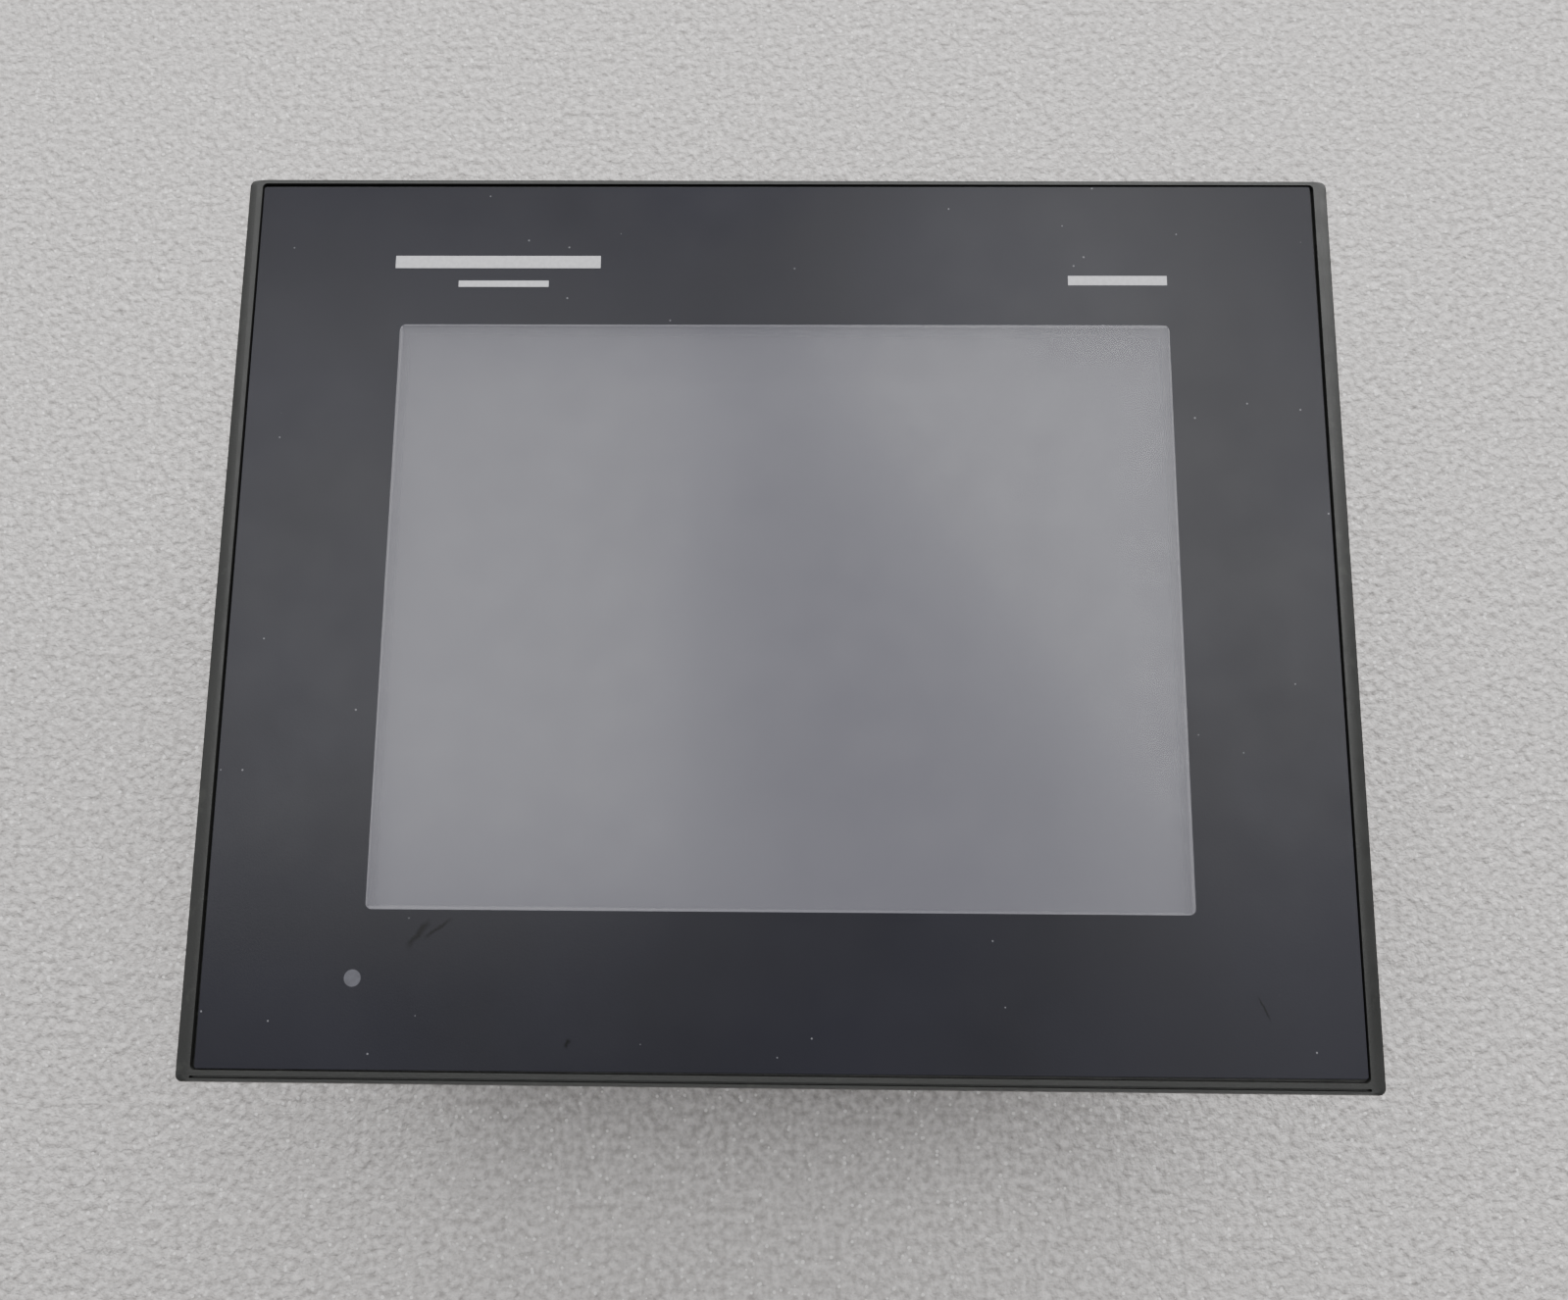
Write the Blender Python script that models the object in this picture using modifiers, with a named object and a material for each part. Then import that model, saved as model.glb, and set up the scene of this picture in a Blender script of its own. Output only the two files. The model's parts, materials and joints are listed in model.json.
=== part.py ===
"""Flush-mounting operator touch panel, lying on its back with the screen up.

+X runs to the right along the screen, +Y towards the screen's upper edge and
+Z out of the screen. The origin is under the middle of the outline, on the
plane that the rear housing rests on. All values are in metres.
"""

import math

import bmesh
import bpy
from mathutils import Vector

MM = 0.001

# Clearances
FIT = 0.3 * MM  # between pieces that touch or are cut to each other
SLIP = 0.5 * MM  # round plates and glass that drop into place

# Overall front
PANEL_WIDTH = 169.5 * MM
PANEL_HEIGHT = 137.0 * MM
PANEL_DEPTH = 59.5 * MM
FLANGE_THICKNESS = 8.0 * MM
FLANGE_REACH = 7.25 * MM  # how far the flange laps over the cut-out body
FLANGE_CORNER = 1.0 * MM
RIM_SIDE = 2.3 * MM  # rim beside the sheet, left and right
RIM_UPPER = 0.9 * MM  # rim above the sheet
RIM_LOWER = 0.75 * MM  # rim below the sheet, inside the drip groove
DRIP_GROOVE = (0.35 * MM, 0.7 * MM)  # width and depth of the groove along the lower edge
LOWER_LIP = 0.65 * MM  # lip outside the groove
SLOPE_SIDE = 1.4 * MM  # width of the sloping outer part of the side rims
SLOPE_END = 0.3 * MM
SLOPE_DROP = 0.7 * MM

# Front sheet and screen
RECESS_DEPTH = 0.95 * MM
RECESS_CORNER = 0.7 * MM
SHEET_GAP = 0.35 * MM
SHEET_THICKNESS = 0.5 * MM
SHEET_SINK = 0.15 * MM  # sheet surface below the rim
WINDOW_WIDTH = 118.5 * MM
WINDOW_HEIGHT = 88.6 * MM
BEZEL_FLOOR = 2.0 * MM
TOUCH_MARGIN = 5.5 * MM
TOUCH_THICKNESS = 1.8 * MM
LCD_MARGIN = 7.5 * MM
LCD_THICKNESS = 9.0 * MM
LCD_FRAME_FACE = 0.6 * MM
LCD_FRAME_WALL = 0.8 * MM
LCD_LIP = 0.3 * MM  # metal frame showing inside the window
CELL_MARGIN = 3.5 * MM
CELL_THICKNESS = 1.8 * MM
TAIL_WIDTH = 14.0 * MM
TAIL_THICKNESS = 0.25 * MM
TAIL_X = 16.0 * MM
TAIL_DROP = 1.2 * MM  # below the recess, where the tail leaves the glass
TAIL_END = 8.0 * MM  # above the board
RIBBON_WIDTH = 20.0 * MM
RIBBON_Y = 40.0 * MM
RIBBON_SWAY = 2.0 * MM

# Status light
LIGHT_FROM_BOSS = 6.3 * MM  # from the end of its strip of board, beside the case screw's boss
LIGHT_BELOW_WINDOW = 9.6 * MM
LIGHT_RADIUS = 1.2 * MM
LIGHT_COLLAR = 0.5 * MM
LIGHT_PIPE_TAIL = 1.6 * MM  # of the pipe behind the bezel's floor
LED_BOARD_SIZE = (12.0 * MM, 4.8 * MM, 1.2 * MM)
LED_SIZE = (3.0 * MM, 2.6 * MM, 1.9 * MM)

# Body behind the flange
WALL = 2.5 * MM
SKIRT_DEPTH = 5.0 * MM
BODY_CORNER = 3.0 * MM
BODY_EDGE = 1.0 * MM
GASKET_WIDTH = 4.4 * MM
GASKET_THICKNESS = 2.0 * MM
GASKET_PROUD = 0.6 * MM
BAY_LENGTH = 23.25 * MM  # shallow bay below the connector wall
BAY_ABOVE_BOARD = 1.4 * MM  # the bay's roof clears the board's level by this much

# Fasteners
COLUMN_INSET = 4.5 * MM  # case screw columns, from the inner walls
COLUMN_RADIUS = 4.7 * MM
BOSS_RADIUS = 3.4 * MM
CASE_SCREW_RADIUS = 1.45 * MM
CASE_HEAD_RADIUS = 2.8 * MM
CASE_HEAD_HEIGHT = 2.0 * MM
CASE_SCREW_LENGTH = 12.0 * MM
CASE_SCREW_SEAT = 5.5 * MM  # plastic under each case screw's head
SMALL_SCREW_RADIUS = 1.2 * MM
SMALL_HEAD_RADIUS = 2.3 * MM
SMALL_HEAD_HEIGHT = 1.6 * MM
DISPLAY_SCREW_X = 40.0 * MM
DISPLAY_BOSS_RADIUS = 2.7 * MM
DISPLAY_SCREW_LENGTH = 7.0 * MM
CROSS_WIDTH = 0.8 * MM
FASTENER_SLOT = (10.0 * MM, 3.5 * MM)
FASTENER_SLOT_X = 45.0 * MM
FASTENER_SLOT_BELOW = 9.0 * MM  # slot centre below the flange

# Inner plate and board
PLATE_THICKNESS = 1.0 * MM
BOARD_THICKNESS = 1.6 * MM
BOARD_TOP = 26.6 * MM
BOARD_SIDE_GAP = 9.0 * MM
BOARD_END_GAP = 10.75 * MM
BOARD_SCREW_INSET = (4.5 * MM, 9.5 * MM)
STANDOFF_FLATS = 5.5 * MM
BOARD_SCREW_LENGTH = 7.0 * MM

# Parts soldered to the board: the processor and its sink face the screen, the rest face the rear
CHIP_SIZE = (22.0 * MM, 2.2 * MM)  # side and height
CHIP_Y = 8.0 * MM
SINK_SIDE = 40.0 * MM
SINK_HEADROOM = 5.55 * MM  # air between the fins and the display plate
SINK_BASE = 2.2 * MM
SINK_FINS = 8
SINK_PITCH = 5.0 * MM
SINK_CHANNEL = 3.2 * MM
CELL_PLACE = (-30.0 * MM, 26.0 * MM)
CELL_RADIUS = 10.0 * MM
CELL_HEIGHT = 3.2 * MM
CELL_HOLDER = (12.0 * MM, 5.0 * MM)  # radius and height
CELL_HOLDER_FLOOR = 1.4 * MM
BUZZER_PLACE = (30.0 * MM, 30.0 * MM)
BUZZER_SIZE = (6.0 * MM, 7.5 * MM)  # radius and height
CAPACITOR_PLACE = (-52.0 * MM, -4.0 * MM)
CAPACITOR_SIZE = (5.0 * MM, 16.0 * MM)  # radius and height
INDUCTOR_PLACE = (-36.0 * MM, -4.0 * MM)
INDUCTOR_SIZE = (12.0 * MM, 7.0 * MM)  # side and height
INDUCTOR_CORNER = 2.0 * MM

# Connectors along the wall that faces the lower edge: width, depth and height of each, and the
# gap to its neighbour on the left
POWER_X = -46.0 * MM
POWER_POLES = 3
POWER_PITCH = 5.08 * MM
POWER_HEADER = (17.8 * MM, 10.6 * MM, 11.0 * MM)
POWER_HEADER_WALL = 0.9 * MM
PLUG_BODY = (17.0 * MM, 9.6 * MM, 13.0 * MM)
PLUG_NOSE_DEPTH = 7.6 * MM
WIRE_HOLE = (3.4 * MM, 6.0 * MM, 3.4 * MM)
TERMINAL_SCREW_RADIUS = 1.7 * MM
TERMINAL_SCREW_LENGTH = 3.4 * MM
TERMINAL_SCREW_SLOT = (0.7 * MM, 0.9 * MM)  # width and depth
TERMINAL_SCREW_SETBACK = 4.6 * MM  # from the plug's wire side
TERMINAL_SCREW_SUNK = 1.0 * MM
WIRE_HOLE_RAISE = 1.5 * MM  # above the plug's middle
PLUG_EDGE = 0.4 * MM
POWER_PIN_RADIUS = 0.6 * MM
USB_HOST_GAP = 4.4 * MM
USB_HOST_SIZE = (13.4 * MM, 14.0 * MM, 6.2 * MM)
USB_TOOL_GAP = 3.4 * MM
USB_TOOL_SIZE = (7.8 * MM, 9.0 * MM, 4.0 * MM)
USB_WALL = 0.4 * MM
USB_TONGUE_SHARE = 0.3  # of the shell's height
USB_TONGUE_SETBACK = 1.2 * MM
ETHERNET_GAP = 2.6 * MM
SERIAL_JACK_GAP = 2.5 * MM
JACK_SIZE = (16.0 * MM, 16.0 * MM, 13.4 * MM)
JACK_MOUTH = (11.9 * MM, 12.0 * MM, 7.6 * MM)
JACK_LATCH = (6.2 * MM, 10.0 * MM, 2.6 * MM)
JACK_ROOF = 1.6 * MM
SERIAL_PORT_GAP = 3.1 * MM
DSUB_FLANGE = (30.8 * MM, 1.0 * MM, 12.4 * MM)
DSUB_SHELL = (17.0 * MM, 6.0 * MM, 9.0 * MM)
DSUB_WALL = 0.6 * MM
DSUB_CORNER = 2.0 * MM
DSUB_LEAN = 1.3 * MM
DSUB_HOLE_X = 12.5 * MM
DSUB_PIN_PITCH = 2.76 * MM
DSUB_PIN_ROW = 2.84 * MM
DSUB_PIN_RADIUS = 0.5 * MM
DSUB_PIN_SETBACK = 1.0 * MM
DSUB_INSERT_REACH = 12.0 * MM  # insulator behind the wall's face
HEXNUT_FLATS = 4.8 * MM
HEXNUT_LENGTH = 4.8 * MM
HEXNUT_SHANK = 1.2 * MM
HEXNUT_WALL = 1.5 * MM  # solid end behind each nut's thread

# Memory card bay in the right-hand wall
CARD_Y = -2.0 * MM
CARD_BLOCK = (9.0 * MM, 42.0 * MM, 22.0 * MM)
CARD_BLOCK_DROP = 6.7 * MM  # middle of the block below the port tops
COVER_SIZE = (2.2 * MM, 34.0 * MM, 15.0 * MM)
COVER_SUNK = 0.2 * MM
COVER_EDGE = 0.3 * MM
COVER_PEG_RADIUS = 0.8 * MM
COVER_PEG_LENGTH = 1.4 * MM
COVER_DROP = 13.4 * MM  # cover's lower edge below the port tops
CARD_MOUTH = (25.0 * MM, 2.6 * MM)
CARD_SOCKET = (27.0 * MM, 28.0 * MM, 3.2 * MM)
NAIL_GROOVE_RADIUS = 0.6 * MM
NAIL_GROOVE_LENGTH = 12.0 * MM
NAIL_GROOVE_INSET = 2.2 * MM  # below the cover's upper edge

# Rear vents and rating plate
VENT_WIDTH = 2.2 * MM
VENT_LENGTH = 15.0 * MM
VENT_PITCH = 6.4 * MM
VENT_COUNT = 15
VENT_HIGH_INSET = 16.0 * MM  # row centres from the upper inner wall and the connector wall
VENT_LOW_INSET = 12.0 * MM
TOP_VENT_HEIGHT = 12.0 * MM
TOP_VENT_Z = 18.0 * MM
RATING_PLATE = (66.0 * MM, 34.0 * MM, 0.3 * MM)
RATING_POCKET = 0.8 * MM

# Levels and faces worked out from the sizes above
BODY_WIDTH = PANEL_WIDTH - 2 * FLANGE_REACH
BODY_HEIGHT = PANEL_HEIGHT - 2 * FLANGE_REACH
FLANGE_BACK_Z = PANEL_DEPTH - FLANGE_THICKNESS
SKIRT_END_Z = FLANGE_BACK_Z - SKIRT_DEPTH
HOUSING_TOP_Z = SKIRT_END_Z - FIT
INNER_X = BODY_WIDTH / 2 - WALL
INNER_Y = BODY_HEIGHT / 2 - WALL
RECESS_Z = PANEL_DEPTH - RECESS_DEPTH
RECESS_X = PANEL_WIDTH / 2 - RIM_SIDE
RECESS_HIGH_Y = PANEL_HEIGHT / 2 - RIM_UPPER
RECESS_LOW_Y = LOWER_LIP + DRIP_GROOVE[0] + RIM_LOWER - PANEL_HEIGHT / 2
FLOOR_BACK_Z = RECESS_Z - BEZEL_FLOOR
SHEET_TOP_Z = PANEL_DEPTH - SHEET_SINK
TOUCH_TOP_Z = SHEET_TOP_Z - SHEET_THICKNESS - FIT
TOUCH_X = WINDOW_WIDTH / 2 + TOUCH_MARGIN
TOUCH_Y = WINDOW_HEIGHT / 2 + TOUCH_MARGIN
LCD_TOP_Z = FLOOR_BACK_Z - FIT
LCD_BACK_Z = LCD_TOP_Z - LCD_THICKNESS
LCD_X = WINDOW_WIDTH / 2 + LCD_MARGIN
LCD_Y = WINDOW_HEIGHT / 2 + LCD_MARGIN
PLATE_TOP_Z = LCD_BACK_Z - FIT
PLATE_BACK_Z = PLATE_TOP_Z - PLATE_THICKNESS
BOARD_BACK = BOARD_TOP - BOARD_THICKNESS
PORT_TOP_Z = BOARD_BACK - FIT  # the top of everything soldered under the board
BAY_DEPTH = BOARD_TOP + BAY_ABOVE_BOARD
WALL_Y = BAY_LENGTH - BODY_HEIGHT / 2  # outer face of the connector wall
BOARD_X = INNER_X - BOARD_SIDE_GAP
BOARD_LOW_Y = WALL_Y + WALL + FIT
BOARD_HIGH_Y = INNER_Y - BOARD_END_GAP
COLUMN_X = INNER_X - COLUMN_INSET
COLUMN_Y = INNER_Y - COLUMN_INSET
LED_BOARD_LOW_X = FIT + BOSS_RADIUS - COLUMN_X
LIGHT_X = LED_BOARD_LOW_X + LIGHT_FROM_BOSS
LIGHT_Y = -WINDOW_HEIGHT / 2 - LIGHT_BELOW_WINDOW
CASE_SEAT_Z = HOUSING_TOP_Z - CASE_SCREW_SEAT
DISPLAY_SCREW_Y = (LCD_Y + INNER_Y) / 2
PORT_FACE_Y = WALL_Y - 2 * FIT
USB_HOST_X = POWER_X + (POWER_HEADER[0] + USB_HOST_SIZE[0]) / 2 + USB_HOST_GAP
USB_TOOL_X = USB_HOST_X + (USB_HOST_SIZE[0] + USB_TOOL_SIZE[0]) / 2 + USB_TOOL_GAP
ETHERNET_X = USB_TOOL_X + (USB_TOOL_SIZE[0] + JACK_SIZE[0]) / 2 + ETHERNET_GAP
SERIAL_JACK_X = ETHERNET_X + JACK_SIZE[0] + SERIAL_JACK_GAP
SERIAL_PORT_X = SERIAL_JACK_X + (JACK_SIZE[0] + DSUB_FLANGE[0]) / 2 + SERIAL_PORT_GAP
CARD_WALL_X = BODY_WIDTH / 2
COVER_X = CARD_WALL_X - COVER_SUNK - COVER_SIZE[0] / 2
CARD_BLOCK_Z = PORT_TOP_Z - CARD_BLOCK_DROP
COVER_LOW_Z = PORT_TOP_Z - COVER_DROP
COVER_HINGE_Z = COVER_LOW_Z + COVER_SIZE[0] / 2


# ---------------------------------------------------------------- workshop
def clear_scene():
    for leftover in list(bpy.data.objects):
        bpy.data.objects.remove(leftover, do_unlink=True)


def add_collection(name):
    group = bpy.data.collections.new(name)
    bpy.context.scene.collection.children.link(group)
    return group


def make_finish(name, colour, roughness, metallic=0.0):
    finish = bpy.data.materials.new(name)
    finish.use_nodes = True
    shader = finish.node_tree.nodes["Principled BSDF"]
    shader.inputs["Base Color"].default_value = (*colour, 1.0)
    shader.inputs["Roughness"].default_value = roughness
    shader.inputs["Metallic"].default_value = metallic
    finish.diffuse_color = (*colour, 1.0)
    return finish


def add_piece(name, mesh, finish, place=(0, 0, 0)):
    if finish and not mesh.materials:
        mesh.materials.append(finish)
    piece = bpy.data.objects.new(name, mesh)
    piece.location = place
    PARTS.objects.link(piece)
    return piece


def mesh_from(name, bm):
    mesh = bpy.data.meshes.new(name)
    bm.to_mesh(mesh)
    bm.free()
    return mesh


def box(name, span_x, span_y, span_z, finish=None, corner=0.0, edge=0.0):
    """A box between the given limits; corner rounds its upright edges and edge all its edges."""
    spans = (span_x, span_y, span_z)
    size = Vector([high - low for low, high in spans])
    bm = bmesh.new()
    bmesh.ops.create_cube(bm, size=1.0)
    bmesh.ops.scale(bm, vec=size, verts=bm.verts)
    if corner:
        upright = [e for e in bm.edges if abs(e.verts[0].co.z - e.verts[1].co.z) > size.z / 2]
        bmesh.ops.bevel(bm, geom=upright, offset=corner, segments=4, profile=0.5, affect="EDGES")
    piece = add_piece(name, mesh_from(name, bm), finish, [(low + high) / 2 for low, high in spans])
    if edge:
        rounding = piece.modifiers.new("rounded_edges", "BEVEL")
        rounding.width = edge
        rounding.segments = 2
        rounding.limit_method = "ANGLE"
        rounding.angle_limit = math.radians(60)
    return piece


def slab(name, size_x, size_y, span_z, finish=None, corner=0.0):
    """A plate centred on the panel, with rounded upright corners."""
    return box(name, (-size_x / 2, size_x / 2), (-size_y / 2, size_y / 2), span_z, finish, corner)


def rod(name, radius, start, end, finish=None, sides=24):
    """A round or, with few sides, a hexagonal bar from one point to another."""
    start, end = Vector(start), Vector(end)
    bm = bmesh.new()
    bmesh.ops.create_cone(
        bm,
        cap_ends=True,
        segments=sides,
        radius1=radius,
        radius2=radius,
        depth=(end - start).length,
    )
    piece = add_piece(name, mesh_from(name, bm), finish, (start + end) / 2)
    piece.rotation_mode = "QUATERNION"
    piece.rotation_quaternion = Vector((0, 0, 1)).rotation_difference(end - start)
    if sides > 6:
        piece.data.shade_smooth()
        piece.data.set_sharp_from_angle(angle=math.radians(35))
    return piece


def boxes(name, centres, size):
    """One helper made of equal boxes that stand apart."""
    bm = bmesh.new()
    for centre in centres:
        made = bmesh.ops.create_cube(bm, size=1.0)
        bmesh.ops.scale(bm, vec=size, verts=made["verts"])
        bmesh.ops.translate(bm, vec=centre, verts=made["verts"])
    return add_piece(name, mesh_from(name, bm), None)


def use_helpers(piece, operation, helpers):
    for helper in helpers:
        for group in list(helper.users_collection):
            group.objects.unlink(helper)
        CUTTERS.objects.link(helper)
        helper.hide_render = True
        helper.display_type = "WIRE"
        step = piece.modifiers.new(helper.name, "BOOLEAN")
        step.operation = operation
        step.object = helper
    return piece


def cut(piece, *helpers):
    return use_helpers(piece, "DIFFERENCE", helpers)


def join(piece, *helpers):
    return use_helpers(piece, "UNION", helpers)


def hang_on(pivot_name, place, *pieces):
    """Parents pieces to an empty that stands on their joint's axis."""
    pivot = bpy.data.objects.new(pivot_name, None)
    pivot.location = place
    PARTS.objects.link(pivot)
    for piece in pieces:
        piece.parent = pivot
        piece.location = Vector(piece.location) - Vector(place)
    return pivot


def corners(x, y):
    return [(-x, -y), (x, -y), (-x, y), (x, y)]


def turned_screw(name, head, head_height, shank, length, place, finish, recess):
    """A pan-head screw with its head down and its shank pointing up, turned from a profile."""
    profile = [
        (0.0, head_height),
        (0.75 * head, head_height),
        (head, 0.6 * head_height),
        (head, 0.0),
        (shank, 0.0),
        (shank, 0.5 * shank - length),
        (0.6 * shank, -length),
        (0.0, -length),
    ]
    bm = bmesh.new()
    points = [bm.verts.new((x, 0.0, z)) for x, z in profile]
    for upper, lower in zip(points, points[1:]):
        bm.edges.new((upper, lower))
    piece = add_piece(name, mesh_from(name, bm), finish, place)
    piece.rotation_euler = (math.pi, 0, 0)
    turning = piece.modifiers.new("turned", "SCREW")
    turning.steps = turning.render_steps = 16
    turning.use_merge_vertices = True
    turning.merge_threshold = 0.00001
    x, y, z = place
    low = z - head_height
    arm = 0.7 * head
    across = box(name + "_slot", (x - arm, x + arm), (y - CROSS_WIDTH / 2, y + CROSS_WIDTH / 2),
                 (low - MM, low + 0.5 * head_height))
    cut(piece, across)
    if recess == "cross":
        along = box(name + "_cross", (x - CROSS_WIDTH / 2, x + CROSS_WIDTH / 2),
                    (y - arm, y + arm), (low - MM, low + 0.5 * head_height))
        cut(piece, along)
    return piece


def ribbon(name, path, x, width, thickness, finish):
    """A flat flexible strip that follows a path of (y, z) points, centred on x."""
    line = bpy.data.curves.new(name, "CURVE")
    line.dimensions = "3D"
    line.extrude = width / 2
    spline = line.splines.new("POLY")
    spline.points.add(len(path) - 1)
    # The ribbon's width runs along the curve's own z, so the path is drawn flat and then stood up.
    for point, (y, z) in zip(spline.points, path):
        point.co = (y, z, 0.0, 1.0)
    line.materials.append(finish)
    piece = bpy.data.objects.new(name, line)
    piece.location = (x, 0, 0)
    piece.rotation_euler = (math.pi / 2, 0, math.pi / 2)
    PARTS.objects.link(piece)
    skin = piece.modifiers.new("thickness", "SOLIDIFY")
    skin.thickness = thickness
    skin.offset = 0.0
    return piece


# ---------------------------------------------------------------- front
def add_front_bezel(finish):
    """Flange with sloping rims, a recess for the sheet and a skirt that enters the cut-out."""
    bm = bmesh.new()
    bmesh.ops.create_cube(bm, size=1.0)
    shoulder = FLANGE_THICKNESS - SLOPE_DROP
    bmesh.ops.scale(bm, vec=(PANEL_WIDTH, PANEL_HEIGHT, shoulder), verts=bm.verts)
    upright = [e for e in bm.edges if abs(e.verts[0].co.z - e.verts[1].co.z) > shoulder / 2]
    bmesh.ops.bevel(bm, geom=upright, offset=FLANGE_CORNER, segments=4, profile=0.5, affect="EDGES")
    bm.normal_update()
    top = [face for face in bm.faces if face.normal.z > 0.5]
    raised = bmesh.ops.extrude_face_region(bm, geom=top)
    bmesh.ops.delete(bm, geom=top, context="FACES_ONLY")
    crown = [item for item in raised["geom"] if isinstance(item, bmesh.types.BMVert)]
    shrink = (1 - 2 * SLOPE_SIDE / PANEL_WIDTH, 1 - 2 * SLOPE_END / PANEL_HEIGHT, 1)
    bmesh.ops.scale(bm, vec=shrink, verts=crown)
    bmesh.ops.translate(bm, vec=(0, 0, SLOPE_DROP), verts=crown)
    place = (0, 0, FLANGE_BACK_Z + shoulder / 2)
    bezel = add_piece("front_bezel", mesh_from("front_bezel", bm), finish, place)

    rebate_z = FLANGE_BACK_Z - GASKET_PROUD + GASKET_THICKNESS + FIT
    rebate = slab("gasket_rebate", BODY_WIDTH + 2 * (GASKET_WIDTH + 2 * FIT),
                  BODY_HEIGHT + 2 * (GASKET_WIDTH + 2 * FIT), (FLANGE_BACK_Z - MM, rebate_z))
    skirt = slab("skirt", BODY_WIDTH, BODY_HEIGHT, (SKIRT_END_Z, FLOOR_BACK_Z + MM),
                 corner=BODY_CORNER)
    hollow = slab("bezel_hollow", 2 * INNER_X, 2 * INNER_Y, (SKIRT_END_Z - MM, FLOOR_BACK_Z))
    cut(bezel, rebate)
    join(bezel, skirt)
    cut(bezel, hollow)
    for number, (x, y) in enumerate(corners(COLUMN_X, COLUMN_Y), 1):
        boss = rod(f"case_boss_{number}", BOSS_RADIUS, (x, y, SKIRT_END_Z),
                   (x, y, FLOOR_BACK_Z + MM))
        join(bezel, boss)
    for number, (x, y) in enumerate(corners(DISPLAY_SCREW_X, DISPLAY_SCREW_Y), 1):
        boss = rod(f"display_boss_{number}", DISPLAY_BOSS_RADIUS, (x, y, PLATE_TOP_Z + FIT),
                   (x, y, FLOOR_BACK_Z + MM))
        join(bezel, boss)

    recess = box("sheet_recess", (-RECESS_X, RECESS_X), (RECESS_LOW_Y, RECESS_HIGH_Y),
                 (RECESS_Z, PANEL_DEPTH + MM), corner=RECESS_CORNER)
    groove_width, groove_depth = DRIP_GROOVE
    groove_y = -PANEL_HEIGHT / 2 + LOWER_LIP
    groove = box("drip_groove", (-RECESS_X, RECESS_X), (groove_y, groove_y + groove_width),
                 (PANEL_DEPTH - groove_depth, PANEL_DEPTH + MM))
    opening = slab("screen_opening", 2 * (TOUCH_X + SLIP), 2 * (TOUCH_Y + SLIP),
                   (FLOOR_BACK_Z - MM, RECESS_Z + MM), corner=MM)
    light = rod("light_hole", LIGHT_RADIUS + FIT, (LIGHT_X, LIGHT_Y, FLOOR_BACK_Z - MM),
                (LIGHT_X, LIGHT_Y, RECESS_Z + MM))
    tail_room = box("tail_notch", (TAIL_X - TAIL_WIDTH / 2 - MM, TAIL_X + TAIL_WIDTH / 2 + MM),
                    (-TOUCH_Y - 4 * MM, -TOUCH_Y), (FLOOR_BACK_Z - MM, RECESS_Z - 0.5 * MM))
    cut(bezel, recess, groove, opening, light, tail_room)
    for number, (x, y) in enumerate(corners(COLUMN_X, COLUMN_Y), 1):
        reach = CASE_SEAT_Z + CASE_SCREW_LENGTH + FIT
        cut(bezel, rod(f"case_thread_{number}", CASE_SCREW_RADIUS + FIT,
                       (x, y, SKIRT_END_Z - MM), (x, y, reach), sides=16))
    for number, (x, y) in enumerate(corners(DISPLAY_SCREW_X, DISPLAY_SCREW_Y), 1):
        reach = PLATE_BACK_Z + DISPLAY_SCREW_LENGTH + FIT
        cut(bezel, rod(f"display_thread_{number}", SMALL_SCREW_RADIUS + FIT,
                       (x, y, PLATE_TOP_Z), (x, y, reach), sides=16))
    return bezel


def add_front_sheet(finish):
    """Printed film that covers the whole recess, window included."""
    return box("front_sheet", (SHEET_GAP - RECESS_X, RECESS_X - SHEET_GAP),
               (RECESS_LOW_Y + SHEET_GAP, RECESS_HIGH_Y - SHEET_GAP),
               (SHEET_TOP_Z - SHEET_THICKNESS, SHEET_TOP_Z), finish,
               corner=RECESS_CORNER - SHEET_GAP)


def add_panel_gasket(finish):
    """Seal that rings the skirt and stands proud of the flange's back."""
    low_z = FLANGE_BACK_Z - GASKET_PROUD
    span_z = (low_z, low_z + GASKET_THICKNESS)
    gasket = slab("panel_gasket", BODY_WIDTH + 2 * (FIT + GASKET_WIDTH),
                  BODY_HEIGHT + 2 * (FIT + GASKET_WIDTH), span_z, finish)
    hole = slab("gasket_hole", BODY_WIDTH + 2 * FIT, BODY_HEIGHT + 2 * FIT,
                (span_z[0] - MM, span_z[1] + MM), corner=BODY_CORNER)
    return cut(gasket, hole)


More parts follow.
